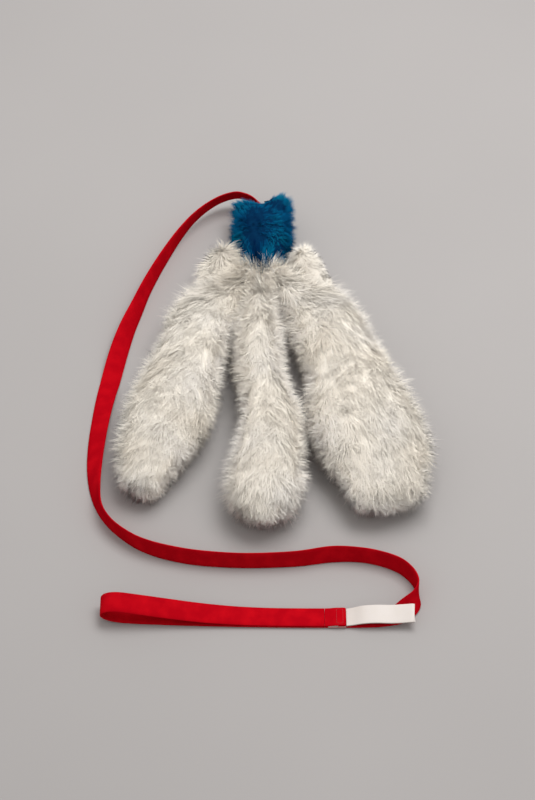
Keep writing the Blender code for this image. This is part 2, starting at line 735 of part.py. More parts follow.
def build_strip_room(name, stations, lane):
    """The hollow in the wool that the skin strip fills, open at the flex line."""
    sections = strip_sections(stations, lane)
    across, up = sections[-1][1:3]
    run = across.cross(up)
    beyond = sections[-1][0] + run * CLEARANCE
    sections.append((beyond, across, up, sections[-1][3]))
    rings = []
    for middle, across, up, half in sections:
        side = across * (half + CLEARANCE)
        rise = up * (STRIP_HALF_THICKNESS + CLEARANCE)
        rings.append([middle + side - rise, middle + side + rise,
                      middle - side + rise, middle - side - rise])
    return add_cutter(name, sweep(rings))


def build_strip(name, stations, lane, material):
    """The strip of skin, folded lengthwise with the wool side out, turning at a round edge."""
    gap = SKIN_FOLD_GAP / 2
    thick = STRIP_HALF_THICKNESS
    rings = []
    for middle, across, up, half in strip_sections(stations, lane):
        fold = half - SKIN_THICKNESS
        section = [(half, -thick), (half, thick), (-half, thick), (-half, gap), (fold, gap),
                   (fold, -gap), (-half, -gap), (-half, -thick)]
        rings.append([middle + across * u + up * v for u, v in section])
    strip = add_object(name, sweep(rings), material)
    direction = tail_direction(stations, lane)
    axis = flex_axis(stations, lane)
    up = direction.cross(axis)
    root = flex_point(lane)
    half = STRIP_ROOT_WIDTH / 2 - CLEARANCE
    rings = []
    for u in (-half, half):
        turned = [2 * math.pi * (k + 0.5) / TURNED_EDGE_SIDES for k in range(TURNED_EDGE_SIDES)]
        rings.append([root + axis * u + (direction * math.cos(a) + up * math.sin(a)) * thick
                      for a in turned])
    boolean(strip, add_cutter(name + "_turned_edge", sweep(rings)), "UNION")


def build_sewn_end(name, stations, lane, material):
    """The strip's flat end inside the collar, up to the flex line."""
    across, normal = lane_across(lane), lane_normal(lane)
    direction = tail_direction(stations, lane)
    slant = -across.x * direction.x / direction.y
    back = (STRIP_HALF_THICKNESS + FLEX_GAP) * math.hypot(1, slant)
    half, thick = STRIP_ROOT_WIDTH / 2, STRIP_HALF_THICKNESS
    front_ring, rear_ring = [], []
    for u, v in ((half, -thick), (half, thick), (-half, thick), (-half, -thick)):
        point = lane_middle(lane) + across * u + normal * v
        front_ring.append(Vector((point.x, FLEX_LINE_Y + slant * u + back, point.z)))
        rear_ring.append(Vector((point.x, COLLAR_CORE_TOP_Y, point.z)))
    add_object(name, sweep([front_ring, rear_ring]), material, smooth=False)


def build_shoulder(name, stations, material, tools):
    """Wool of a sewn end that stands out beside the collar, on the surface."""
    path = even_samples(smooth_path(stations), SHOULDER_RINGS, 2)
    across = Vector((1, 0, 0))
    reach = Vector((0, SHOULDER_CAP, 0))
    rings = round_end(path[0], across, reach, SHOULDER_CAP_RINGS)[::-1]
    for x, y, half_width, top in path:
        rings.append(soft_ring((x, y), across, half_width, -FLAT_CUT, top))
    rings += round_end(path[-1], across, -reach, SHOULDER_CAP_RINGS)
    bm = sweep(rings)
    press_flat(bm)
    shoulder = add_object(name, bm, material)
    for tool in tools:
        boolean(shoulder, tool)


def main():
    clear_scene()
    webbing = make_material("red webbing", (0.52, 0.004, 0.010), 0.62)
    satin = make_material("white satin ribbon", (0.74, 0.70, 0.67), 0.45)
    blue_fur = make_material("dyed fur", (0.004, 0.075, 0.16), 0.85)
    skin = make_material("undyed sheepskin leather", (0.62, 0.52, 0.40), 0.80)
    blue_skin = make_material("dyed leather side", (0.010, 0.060, 0.13), 0.80)
    wool = make_material("natural wool", (0.76, 0.71, 0.63), 0.90)

    lead_start = build_lead(webbing)
    build_lead_sewn_end(webbing, lead_start)
    build_hand_loop(webbing)
    build_loop_seam(webbing)
    build_label(satin)

    build_collar(blue_fur)
    build_collar_skin(blue_skin)
    clearance_form = build_collar_form("collar_clearance", COLLAR_SPARE, True)

    tails = [("left", TAIL_LEFT, -1, TAIL_LEFT_CAP), ("middle", TAIL_MIDDLE, 0, TAIL_MIDDLE_CAP),
             ("right", TAIL_RIGHT, 1, TAIL_RIGHT_CAP)]
    for side, stations, lane, cap in tails:
        build_sewn_end(f"{side}_tail_sewn_end", stations, lane, skin)
        build_strip(f"{side}_tail_skin", stations, lane, skin)
        build_wool(f"{side}_tail_wool", stations, lane, cap, wool)
    build_shoulder("left_shoulder_wool", LEFT_SHOULDER, wool, [clearance_form])
    build_shoulder("right_shoulder_wool", RIGHT_SHOULDER, wool, [clearance_form])


main()
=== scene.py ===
# %% [markdown]
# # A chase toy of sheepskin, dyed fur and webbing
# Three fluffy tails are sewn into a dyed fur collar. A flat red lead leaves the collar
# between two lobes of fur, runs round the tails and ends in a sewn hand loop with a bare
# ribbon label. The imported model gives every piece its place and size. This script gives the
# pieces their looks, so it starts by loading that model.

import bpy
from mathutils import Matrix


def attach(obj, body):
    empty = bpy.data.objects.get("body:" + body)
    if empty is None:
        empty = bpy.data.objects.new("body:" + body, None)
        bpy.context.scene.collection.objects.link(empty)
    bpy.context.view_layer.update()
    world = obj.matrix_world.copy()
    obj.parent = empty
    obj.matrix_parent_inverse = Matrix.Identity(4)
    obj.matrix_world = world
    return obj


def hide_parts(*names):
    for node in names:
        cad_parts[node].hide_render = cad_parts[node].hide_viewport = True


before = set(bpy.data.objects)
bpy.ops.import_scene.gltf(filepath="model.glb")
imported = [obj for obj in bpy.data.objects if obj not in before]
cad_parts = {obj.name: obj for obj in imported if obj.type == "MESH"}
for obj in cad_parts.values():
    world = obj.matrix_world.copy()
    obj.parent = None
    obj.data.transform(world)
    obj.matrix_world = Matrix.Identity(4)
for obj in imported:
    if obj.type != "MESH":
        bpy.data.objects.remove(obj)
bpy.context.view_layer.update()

# %% [markdown]
# ## Tools and measures
# Lengths are metres in Blender, but cloth is easier to think of in millimetres, so one
# constant turns them. A fixed seed makes every run grow the same fur.

# %% Imports and measures
import math

import bmesh
import bpy
import numpy as np
from mathutils import Vector, kdtree, noise
from mathutils.bvhtree import BVHTree

MM = 0.001
WEBBING_WIDTH = 20 * MM
WEBBING_THICKNESS = 1.8 * MM
LAYER_REST = 0.2 * MM
SEED = 7
print("webbing", WEBBING_WIDTH / MM, "mm wide and", WEBBING_THICKNESS / MM, "mm thick")

# %% [markdown]
# ## Camera
# The lead lies flat at the left and shows its full width there, while the flat end of the
# hand loop is foreshortened. Their ratio gives a camera that looks down at 50 degrees, and
# the lead's 20 mm give its distance. A long lens keeps the far and near pieces in scale.

# %% Camera
CAMERA_PLACE = (0.004, -1.667, 1.739)
CAMERA_PITCH = 40.0
LENS = 100.0
SENSOR = 36.0

camera_data = bpy.data.cameras.new("camera")
camera_data.lens = LENS
camera_data.sensor_fit = "VERTICAL"
camera_data.sensor_height = SENSOR
camera = bpy.data.objects.new("camera", camera_data)
camera.location = CAMERA_PLACE
camera.rotation_euler = (math.radians(CAMERA_PITCH), 0, 0)
bpy.context.scene.collection.objects.link(camera)
bpy.context.scene.camera = camera
print("camera looks down at", 90 - CAMERA_PITCH, "degrees")

# %% [markdown]
# ## Curves through chosen points
# Every strap here follows a list of points. A Catmull-Rom curve passes through all of them,
# and sampling it again at even steps gives rings that are equally far apart, so a weave on
# the strap is never squeezed.

# %% Smooth curves
def smooth_path(points, per_span=16):
    """A Catmull-Rom curve through points of any number of values each."""
    out = []
    last = len(points) - 1
    for i in range(last):
        p0, p1, p2, p3 = (np.array(points[min(max(j, 0), last)], float)
                          for j in (i - 1, i, i + 1, i + 2))
        for k in range(per_span):
            t = k / per_span
            out.append(0.5 * (2 * p1 + (p2 - p0) * t + (2 * p0 - 5 * p1 + 4 * p2 - p3) * t * t
                              + (3 * p1 - p0 - 3 * p2 + p3) * t ** 3))
    out.append(np.array(points[-1], float))
    return np.array(out)


def even_samples(points, count, axes):
    """The curve's points again, evenly spaced along its length in the first few values."""
    steps = np.linalg.norm(np.diff(points[:, :axes], axis=0), axis=1)
    along = np.concatenate([[0.0], np.cumsum(steps)])
    goals = np.linspace(0.0, along[-1], count)
    return np.stack([np.interp(goals, along, points[:, k]) for k in range(points.shape[1])], 1)


print("curve helpers ready")

# %% [markdown]
# ## Straps with a map along them
# A woven strap is an outline pushed along its path. The outline is extruded ring by ring
# with a bmesh operator, and each point remembers its ring and its place in the outline.
# From these two numbers comes a map in real millimetres: across the strap, and along it.
# The weave is drawn on that map, so its threads follow every bend.

# %% Strap builder
EDGE_SHARE = 0.42
CROWN_FALL = 0.16


def strap_outline(width, thickness):
    """Points round a strap's section as across and through, thinner at the woven edges."""
    flat = [0.95, 0.6, 0.2, -0.2, -0.6, -0.95]
    half, rise = width / 2, thickness / 2
    top = [(half * s, rise * (1 - CROWN_FALL * s ** 4)) for s in flat]
    bottom = [(u, -v) for u, v in reversed(top)]
    edge = rise * EDGE_SHARE
    return [(half, -edge), (half, edge)] + top + [(-half, edge), (-half, -edge)] + bottom


def strap_mesh(middles, widths, outline):
    """A closed strap as a bmesh, with its map in metres."""
    bm = bmesh.new()
    ring_of = bm.verts.layers.int.new("ring")
    place_of = bm.verts.layers.int.new("place")
    count, last = len(outline), len(middles) - 1
    around = [0.0]
    for (u0, v0), (u1, v1) in zip(outline, outline[1:] + outline[:1]):
        around.append(around[-1] + math.hypot(u1 - u0, v1 - v0))
    along = [0.0]
    for a, b in zip(middles, middles[1:]):
        along.append(along[-1] + (b - a).length)
    current = []
    for i, (middle, width) in enumerate(zip(middles, widths)):
        tangent = (middles[min(i + 1, last)] - middles[max(i - 1, 0)]).normalized()
        across = (width - tangent * width.dot(tangent)).normalized()
        through = tangent.cross(across)
        ring = [middle + across * u + through * v for u, v in outline]
        if i == 0:
            step = [bm.verts.new(p) for p in ring]
            for a, b in zip(step, step[1:] + step[:1]):
                bm.edges.new((a, b))
        else:
            edges = [bm.edges.get(pair) for pair in zip(current, current[1:] + current[:1])]
            made = bmesh.ops.extrude_edge_only(bm, edges=edges)["geom"]
            new = {g for g in made if isinstance(g, bmesh.types.BMVert)}
            step = [next(e.other_vert(v) for e in v.link_edges if e.other_vert(v) in new)
                    for v in current]
        for k, (v, p) in enumerate(zip(step, ring)):
            v.co = p
            v[ring_of], v[place_of] = i, k
        if i in (0, last):
            bm.faces.new(step)
        current = step
    bmesh.ops.recalc_face_normals(bm, faces=bm.faces)
    weave = bm.loops.layers.uv.new("weave")
    for face in bm.faces:
        places = [v[place_of] for v in face.verts]
        wraps = len(face.verts) == 4 and 0 in places and count - 1 in places
        for loop in face.loops:
            ring, place = loop.vert[ring_of], loop.vert[place_of]
            if wraps and place == 0:
                place = count
            loop[weave].uv = (around[place], along[ring])
        if len(face.verts) > 4:
            for loop in face.loops:
                u, v = outline[loop.vert[place_of]]
                loop[weave].uv = (u, along[loop.vert[ring_of]] + v)
    return bm


def finish_mesh(name, bm, material, sharp=50.0):
    """An object of the finished bmesh, at the origin, with its material."""
    mesh = bpy.data.meshes.new(name)
    bm.to_mesh(mesh)
    bm.free()
    mesh.shade_smooth()
    mesh.set_sharp_from_angle(angle=math.radians(sharp))
    mesh.materials.append(material)
    obj = bpy.data.objects.new(name, mesh)
    bpy.context.scene.collection.objects.link(obj)
    return obj


print("strap outline has", len(strap_outline(WEBBING_WIDTH, WEBBING_THICKNESS)), "points")

# %% [markdown]
# ## Shader maths as Python
# A material is a set of nodes. Writing `height * 0.5 + 1` is easier to read than adding and
# linking Math nodes, so a small class wraps a socket, and each operator adds the node that it
# stands for. Every other node comes from one method: settings first, then socket values.

# %% Socket maths and node method
class Value:
    """A number socket that takes part in Python expressions."""

    def __init__(self, finish, socket):
        self.finish = finish
        self.socket = socket

    def math(self, operation, *others):
        made = self.finish.node("ShaderNodeMath", {"operation": operation},
                                dict(enumerate((self, *others))))
        return made["Value"]

    def __add__(self, other):
        return self.math("ADD", other)

    def __radd__(self, other):
        return self.math("ADD", other)

    def __sub__(self, other):
        return self.math("SUBTRACT", other)

    def __rsub__(self, other):
        return self.math("MULTIPLY", -1.0).math("ADD", other)

    def __mul__(self, other):
        return self.math("MULTIPLY", other)

    def __rmul__(self, other):
        return self.math("MULTIPLY", other)

    def power(self, exponent):
        return self.math("POWER", exponent)

    def sine(self):
        return self.math("SINE")

    def within(self):
        """The value held between 0 and 1."""
        return self.math("MAXIMUM", 0.0).math("MINIMUM", 1.0)


class Finish:
    """A new material whose Principled shader is filled in step by step."""

    def __init__(self, name, **constants):
        self.material = bpy.data.materials.new(name)
        self.material.use_nodes = True
        self.tree = self.material.node_tree
        self.shader = self.tree.nodes["Principled BSDF"]
        for socket, value in constants.items():
            self.set(socket.replace("_", " "), value)

    def node(self, kind, settings=None, sockets=None):
        """Adds a node and returns its outputs by name."""
        made = self.tree.nodes.new(kind)
        for key, value in (settings or {}).items():
            if key == "stops":
                ramp = made.color_ramp
                while len(ramp.elements) < len(value):
                    ramp.elements.new(0.5)
                for element, (place, colour) in zip(ramp.elements, value):
                    element.position = place
                    element.color = (*colour, 1.0)
            else:
                setattr(made, key, value)
        for key, value in (sockets or {}).items():
            self.feed(made.inputs[key], value)
        return {out.name: Value(self, out) for out in made.outputs if out.enabled}

    def feed(self, socket, value):
        if isinstance(value, Value):
            self.tree.links.new(value.socket, socket)
        elif isinstance(value, tuple) and len(value) == 3 and len(socket.default_value) == 4:
            socket.default_value = (*value, 1.0)
        else:
            socket.default_value = value

    def set(self, socket, value):
        self.feed(self.shader.inputs[socket], value)

    def mix(self, share, first, second):
        """A colour between two colours, which are sockets 6 and 7 of a Mix node."""
        made = self.node("ShaderNodeMix", {"data_type": "RGBA"}, {0: share, 6: first, 7: second})
        return made["Result"]

    def ramp(self, share, *stops):
        return self.node("ShaderNodeValToRGB", {"stops": stops}, {"Fac": share})["Color"]

    def spots(self, scale, detail=3.0, where=None):
        """Smooth noise from 0 to 1 in Object coordinates, or at another place."""
        place = where or self.node("ShaderNodeTexCoord")["Object"]
        return self.node("ShaderNodeTexNoise", None,
                         {"Vector": place, "Scale": scale, "Detail": detail})["Fac"]

    def map(self, name):
        """The two values of a named map, and the map itself."""
        vector = self.node("ShaderNodeUVMap", {"uv_map": name})["UV"]
        parts = self.node("ShaderNodeSeparateXYZ", None, {"Vector": vector})
        return parts["X"], parts["Y"], vector

    def bump(self, height, strength, distance):
        made = self.node("ShaderNodeBump", None,
                         {"Height": height, "Strength": strength, "Distance": distance})
        self.set("Normal", made["Normal"])


print("finish helpers ready")

# %% [markdown]
# ## Woven webbing
# Polyester webbing shows rows of small raised ribs that run along it, crossed by the filling
# thread. Two sine waves on the strap's own map make those ribs. The raised threads keep the
# plain red and are smoother, and the gaps get a darker red, which is painted shade. A slow
# noise along the strap stands for dye and handling. The red is strong, so the sheen that cloth
# has stays low.

# %% Webbing material
RIB = 1.35 * MM
PICK = 1.1 * MM
# The darker red of the gaps between threads is painted shade.
GAP_SHADE_RED = (0.30, 0.0015, 0.006)
PLAIN_RED = (0.50, 0.002, 0.008)
BRIGHT_RED = (0.56, 0.004, 0.010)


def wave(value, length):
    """A sine wave along a value, with the given length from crest to crest."""
    return (value * (2 * math.pi / length)).sine()


def webbing_finish(name, gap_shade, plain, bright):
    cloth = Finish(name, Specular_IOR_Level=0.0)
    across, along, where = cloth.map("weave")
    height = wave(across, RIB) * wave(along, PICK) * 0.5 + 0.5
    dye = cloth.spots(60.0, 3.0, where)
    # Painted shade: the gaps between the raised threads take the darker red.
    threads_and_gap_shade = cloth.mix(height, gap_shade, plain)
    worn = cloth.mix(((dye - 0.42) * 2.2).within(), threads_and_gap_shade, bright)
    cloth.set("Base Color", worn)
    cloth.set("Roughness", 0.75 - height * 0.12)
    cloth.bump(height, 0.45, 0.25 * MM)
    return cloth.material


red_webbing = webbing_finish("red webbing", GAP_SHADE_RED, PLAIN_RED, BRIGHT_RED)
print("weave:", round(WEBBING_WIDTH / RIB), "ribs across the strap")

# %% [markdown]
# ## The free lead
# The lead comes first because it is the one long loose piece. It stands on edge in the wide
# bend, lies flat at the left, stands on edge again along the bottom, and turns flat before
# the sewn seam. Each point gives x, y, the turn of the strap in degrees and how high it is
# held. The height of its middle follows from its turn, so it always rests on the surface.

# %% Lead
LEAD_ROUTE = [
    (-0.0052, 0.0450, 102, 0.0150), (-0.0100, 0.0535, 110, 0.0148),
    (-0.0180, 0.0610, 114, 0.0140), (-0.0300, 0.0660, 115, 0.0125),
    (-0.0460, 0.0635, 111, 0.0090), (-0.0620, 0.0540, 105, 0.0055),
    (-0.0770, 0.0390, 98, 0.0025), (-0.0900, 0.0190, 90, 0.0008),
    (-0.1020, -0.0050, 82, 0.0), (-0.1145, -0.0340, 75, 0.0),
    (-0.1250, -0.0620, 68, 0.0), (-0.1335, -0.0890, 58, 0.0),
    (-0.1420, -0.1150, 45, 0.0), (-0.1490, -0.1420, 28, 0.0),
    (-0.1550, -0.1720, 10, 0.0), (-0.1600, -0.2010, -8, 0.0),
    (-0.1640, -0.2330, -20, 0.0), (-0.1670, -0.2690, -28, 0.0),
    (-0.1675, -0.3010, -40, 0.0), (-0.1650, -0.3310, -60, 0.0),
    (-0.1590, -0.3555, -82, 0.0), (-0.1475, -0.3740, -90, 0.0),
    (-0.1300, -0.3900, -88, 0.0), (-0.1130, -0.4000, -84, 0.0),
    (-0.0900, -0.4080, -80, 0.0), (-0.0600, -0.4140, -79, 0.0),
    (-0.0170, -0.4170, -81, 0.0), (0.0300, -0.4150, -79, 0.0),
    (0.0650, -0.4095, -75, 0.0), (0.0910, -0.4100, -80, 0.0),
    (0.1120, -0.4145, -80, 0.0), (0.1300, -0.4225, -78, 0.0),
    (0.1410, -0.4335, -80, 0.0), (0.1462, -0.4450, -86, 0.0),
    (0.1462, -0.4545, -100, 0.0), (0.1430, -0.4625, -124, 0.0),
    (0.1360, -0.4692, -150, 0.0), (0.1260, -0.4745, -171, 0.0),
    (0.1050, -0.4776, -180, 0.0), (0.0783, -0.4780, -180, 0.0),
]
LEAD_RINGS = 380


def lead_line(route, count):
    """The strap's middle and the direction of its width at evenly spaced places."""
    path = even_samples(smooth_path(route), count, 2)
    run = np.gradient(path[:, :2], axis=0)
    run /= np.linalg.norm(run, axis=1)[:, None]
    middles, widths = [], []
    for (x, y, turn, lift), (rx, ry) in zip(path, run):
        angle = math.radians(turn)
        face = Vector((0, 0, 1)) * math.cos(angle) + Vector((-ry, rx, 0)) * math.sin(angle)
        rise = (WEBBING_WIDTH / 2 * abs(math.sin(angle))
                + WEBBING_THICKNESS / 2 * abs(math.cos(angle)))
        middles.append(Vector((x, y, rise + LAYER_REST + lift)))
        widths.append(Vector((rx, ry, 0)).cross(face))
    return middles, widths


webbing_outline = strap_outline(WEBBING_WIDTH, WEBBING_THICKNESS)
lead_middles, lead_widths = lead_line(LEAD_ROUTE, LEAD_RINGS)
lead_length = sum((b - a).length for a, b in zip(lead_middles, lead_middles[1:]))
lead = finish_mesh("lead", strap_mesh(lead_middles, lead_widths, webbing_outline), red_webbing)
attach(lead, "collar_and_lead")
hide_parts("lead_webbing")
print(f"lead: {lead_length:.3f} m of webbing from the collar to the seam")

# %% [markdown]
# ## Hand loop
# The same webbing runs on from the seam, turns back on itself and returns over its own lower
# strand. The fold stands open by about 20 mm, and the upper strand settles onto the lower
# one. A side view of the strap's middle, with a little roll, is enough to sweep it.

# %% Hand loop
SEAM_X = 58 * MM
SEAM_LENGTH = 20 * MM
SEAM_Y = -478 * MM
END_GAP = 0.3 * MM
LOW = LAYER_REST + WEBBING_THICKNESS / 2
HIGH = LOW + WEBBING_THICKNESS + 0.5 * MM
LOOP_SIDE = [
    (SEAM_X - END_GAP, LOW, 0), (0.020, LOW, 0), (-0.040, LOW, 0), (-0.100, LOW, 0),
    (-0.128, LOW + 0.0004, 0), (-0.1445, 0.0042, 1), (-0.1525, 0.0110, 4),
    (-0.1490, 0.0185, 8), (-0.1370, 0.0213, 11), (-0.1150, 0.0180, 13),
    (-0.0900, 0.0135, 13), (-0.0600, 0.0085, 9), (-0.0300, 0.0052, 4),
    (0.0000, HIGH + 0.0003, 1), (0.0300, HIGH, 0), (SEAM_X - END_GAP, HIGH, 0),
]
LOOP_SWEEP = 6 * MM
LOOP_LENGTH = 210 * MM


def side_line(side, count, sweep=0.0):
    """Middles and width directions of a strap drawn in side view, x and z, with its roll."""
    middles, widths = [], []
    for x, z, roll in even_samples(smooth_path(side), count, 2):
        along = (SEAM_X - x) / LOOP_LENGTH
        angle = math.radians(roll)
        middles.append(Vector((x, SEAM_Y + sweep * along * along, z)))
        widths.append(Vector((0, math.cos(angle), math.sin(angle))))
    return middles, widths


loop_line = side_line(LOOP_SIDE, 200, LOOP_SWEEP)
hand_loop = finish_mesh("hand_loop_webbing", strap_mesh(*loop_line, webbing_outline), red_webbing)
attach(hand_loop, "hand_loop")
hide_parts("hand_loop")
print("hand loop:", len(hand_loop.data.polygons), "faces")

# %% [markdown]
# ## Sewn seam
# At the seam the upper strand ends in a small turned hem, so its raw end is hidden, and it
# lies on the lower strand. The hem makes the low step that catches the light beside the
# label. The ribbon's own end is caught between the layers and shows as a pale line.

# %% Seam layers
LOWER_STRAND = [(SEAM_X, LOW, 0), (SEAM_X + SEAM_LENGTH / 2, LOW, 0),
                (SEAM_X + SEAM_LENGTH, LOW, 0)]
HEM = [(SEAM_X, HIGH, 0), (SEAM_X + 0.0050, HIGH + 0.0003, 0), (SEAM_X + 0.0095, 0.00445, 0),
       (SEAM_X + 0.0150, 0.00475, 0), (SEAM_X + 0.0183, 0.00465, 0), (SEAM_X + 0.0193, 0.0040, 0),
       (SEAM_X + 0.0186, 0.0031, 0), (SEAM_X + 0.0165, 0.00295, 0), (SEAM_X + 0.0125, 0.00295, 0)]
hem_outline = strap_outline(WEBBING_WIDTH, WEBBING_THICKNESS * 0.92)
lower_strand = finish_mesh("seam_lower_strand",
                           strap_mesh(*side_line(LOWER_STRAND, 12), webbing_outline), red_webbing)
hem = finish_mesh("seam_hem", strap_mesh(*side_line(HEM, 48), hem_outline), red_webbing)
for piece in (lower_strand, hem):
    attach(piece, "collar_and_lead")
    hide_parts("loop_seam")
print("seam: two layers and a turned hem")

# %% [markdown]
# ## Stitches
# A box of machine stitches holds the seam. One stitch is a small stretched sphere of a few
# dozen faces, sunk a little into the cloth at both ends. Copies of it are laid along the rows.

# %% Stitches
STITCH = 2.3 * MM
THREAD = 0.55 * MM
PLY = 0.5 * MM
STITCH_STEP = 1.15
AXIS_X = Vector((1, 0, 0))
LAID_DOWN = Vector((0, 0, 1)).rotation_difference(AXIS_X).to_matrix()


def thread_finish(name, dark, light):
    yarn = Finish(name, Specular_IOR_Level=0.4)
    where = yarn.node("ShaderNodeTexCoord")["Object"]
    parts = yarn.node("ShaderNodeSeparateXYZ", None, {"Vector": where})
    ply = wave(parts["X"] + parts["Y"], PLY) * 0.5 + 0.5
    # Painted shade: the grooves between the plies take the dark colour.
    yarn.set("Base Color", yarn.mix(ply, dark, light))
    yarn.set("Roughness", 0.55 - ply * 0.1)
    yarn.bump(ply, 0.4, 0.08 * MM)
    return yarn.material


def stitch_rows(bm, rows):
    """Adds copies of one stitch along rows of (start, end) points on top of the cloth."""
    count = 0
    for start, end in rows:
        start, end = Vector(start), Vector(end)
        number = max(1, round((end - start).length / (STITCH * STITCH_STEP)))
        aim = AXIS_X.rotation_difference(end - start).to_matrix()
        for k in range(number):
            made = bmesh.ops.create_uvsphere(bm, u_segments=6, v_segments=5, radius=0.5)["verts"]
            bmesh.ops.rotate(bm, verts=made, cent=(0, 0, 0), matrix=LAID_DOWN)
            bmesh.ops.scale(bm, verts=made, vec=(STITCH, THREAD, THREAD))
            bmesh.ops.rotate(bm, verts=made, cent=(0, 0, 0), matrix=aim)
            bmesh.ops.translate(bm, verts=made, vec=start.lerp(end, (k + 0.5) / number))
            count += 1
    return count


# The dark colour is the painted shade of the grooves between plies.
red_thread = thread_finish("red thread", (0.34, 0.003, 0.010), (0.60, 0.010, 0.020))
HEM_TOP = 5.62 * MM
inner, outer = SEAM_X + 11.0 * MM, SEAM_X + 17.0 * MM
near, far = SEAM_Y - 8.0 * MM, SEAM_Y + 8.0 * MM
stitch_bm = bmesh.new()
made = stitch_rows(stitch_bm, [
    ((inner, near, HEM_TOP), (inner, far, HEM_TOP)),
    ((outer, near, HEM_TOP), (outer, far, HEM_TOP)),
    ((inner, near, HEM_TOP), (outer, near, HEM_TOP)),
    ((inner, far, HEM_TOP), (outer, far, HEM_TOP)),
])
stitches = finish_mesh("seam_stitches", stitch_bm, red_thread)
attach(stitches, "collar_and_lead")
print("stitches:", made)

# %% [markdown]
# ## Ribbon label
# The label is a bare off-white ribbon, folded double and caught in the seam. It rises a
# little over the lead's flat end, and it has a soft wave and one faint crosswise crease. Its
# satin shows fine threads along it, on the same kind of map as the webbing.

# %% Label
LABEL_LENGTH = 64 * MM
LABEL_WIDTH = 19 * MM
LABEL_THICKNESS = 0.4 * MM
LABEL_GAP = 0.6 * MM
LABEL_LIFT = 0.3 * MM
SATIN_THREAD = 0.45 * MM
LABEL_SIDE = [(0.00, 0.0000, 0), (0.10, 0.0016, 2), (0.25, 0.0046, 5), (0.45, 0.0058, 6),
              (0.65, 0.0054, 7), (0.82, 0.0062, 8), (0.97, 0.0074, 8)]


def ribbon_finish(name):
    satin = Finish(name, Sheen_Weight=0.15, Specular_IOR_Level=0.5)
    across, along, where = satin.map("weave")
    thread = wave(across, SATIN_THREAD) * 0.5 + 0.5
    pick = wave(along, 2 * SATIN_THREAD) * 0.5 + 0.5
    # Painted shade: the gaps between the satin threads take the darker colour.
    cloth = satin.mix(thread * 0.6 + pick * 0.4, (0.56, 0.505, 0.465), (0.68, 0.62, 0.58))
    shade = satin.spots(90.0, 2.0, where)
    satin.set("Base Color", satin.mix(((shade - 0.45) * 1.6).within(), cloth, (0.60, 0.54, 0.48)))
    satin.set("Roughness", 0.50 - thread * 0.12)
    satin.bump(thread * 0.5 + pick * 0.5, 0.25, 0.10 * MM)
    return satin.material


bare_ribbon = ribbon_finish("bare satin ribbon")
label_start = SEAM_X + SEAM_LENGTH + END_GAP
label_low = LAYER_REST + WEBBING_THICKNESS + LABEL_LIFT + LABEL_THICKNESS
spread = (LABEL_THICKNESS + LABEL_GAP) / 2
outward = [(label_start + LABEL_LENGTH * s, label_low + rise, roll)
           for s, rise, roll in LABEL_SIDE]
homeward = [(x, z + 2 * spread, roll) for x, z, roll in reversed(outward)]
end_rise, end_roll = LABEL_SIDE[-1][1:]
turned = [(label_start + LABEL_LENGTH, label_low + end_rise + spread, end_roll)]
label_line = side_line(outward + turned + homeward, 140)
label_outline = strap_outline(LABEL_WIDTH, LABEL_THICKNESS)
label = finish_mesh("ribbon_label", strap_mesh(*label_line, label_outline), bare_ribbon)
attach(label, "label")
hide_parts("loop_label")

TUCK_SIDE = [(SEAM_X + 3.0 * MM, 2.25 * MM, 0), (SEAM_X + 10.0 * MM, 2.25 * MM, 0),
             (SEAM_X + 19.6 * MM, 2.3 * MM, 0)]
TUCK_WIDTH = 21.0 * MM
TUCK_THICKNESS = 0.45 * MM
tuck_outline = strap_outline(TUCK_WIDTH, TUCK_THICKNESS)
label_tuck = finish_mesh("ribbon_sewn_end", strap_mesh(*side_line(TUCK_SIDE, 10), tuck_outline),
                         bare_ribbon)
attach(label_tuck, "collar_and_lead")
print("label:", LABEL_LENGTH / MM, "mm of folded ribbon")

# %% [markdown]
# ## Leather side of the skins
# Inside the fur are strips of sheepskin with a suede face, and a dyed strip in the collar.
# Their CAD shapes are right, so they stay and only get a better finish: a fine nap from
# noise, and the same noise darkens the colour slightly, as painted shade in the nap. They read
# Object coordinates, which suits a solid that is seen only at its ends.

# %% Suede materials
def suede_finish(name, dark, light):
    suede = Finish(name, Sheen_Weight=0.3, Specular_IOR_Level=0.25)
    nap = suede.spots(900.0, 4.0)
    patches = suede.spots(70.0, 2.0)
    base = suede.mix(((patches - 0.35) * 1.8).within(), dark, light)
    # Painted shade: the nap noise darkens the colour a little.
    suede.set("Base Color", suede.mix(nap * 0.35, base, dark))
    suede.set("Roughness", 0.9 - nap * 0.1)
    suede.bump(nap, 0.5, 0.3 * MM)
    return suede.material


def plain_weave_finish(name, gap_shade, bright):
    """Webbing for a CAD solid, which has no map of its own."""
    cloth = Finish(name, Sheen_Weight=0.12)
    parts = cloth.node("ShaderNodeSeparateXYZ", None,
                       {"Vector": cloth.node("ShaderNodeTexCoord")["Object"]})
    height = wave(parts["X"], RIB) * wave(parts["Y"], PICK) * 0.5 + 0.5
    # Painted shade: the gaps between the threads take the darker red.
    cloth.set("Base Color", cloth.mix(height, gap_shade, bright))
    cloth.set("Roughness", 0.62 - height * 0.12)
    cloth.bump(height, 0.45, 0.25 * MM)
    return cloth.material


def dress(node, material):
    """Gives a CAD node one new material."""
    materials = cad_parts[node].data.materials
    materials.clear()
    materials.append(material)


pale_suede = suede_finish("undyed suede", (0.44, 0.34, 0.23), (0.66, 0.55, 0.42))
strips = [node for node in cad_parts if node.endswith(("tail_skin", "tail_sewn_end"))]
for node in strips:
    dress(node, pale_suede)
dress("collar_skin", suede_finish("dyed suede", (0.004, 0.030, 0.080), (0.010, 0.070, 0.150)))
dress("lead_sewn_end", plain_weave_finish("hidden webbing", GAP_SHADE_RED, PLAIN_RED))
print("suede on", len(strips), "strips")

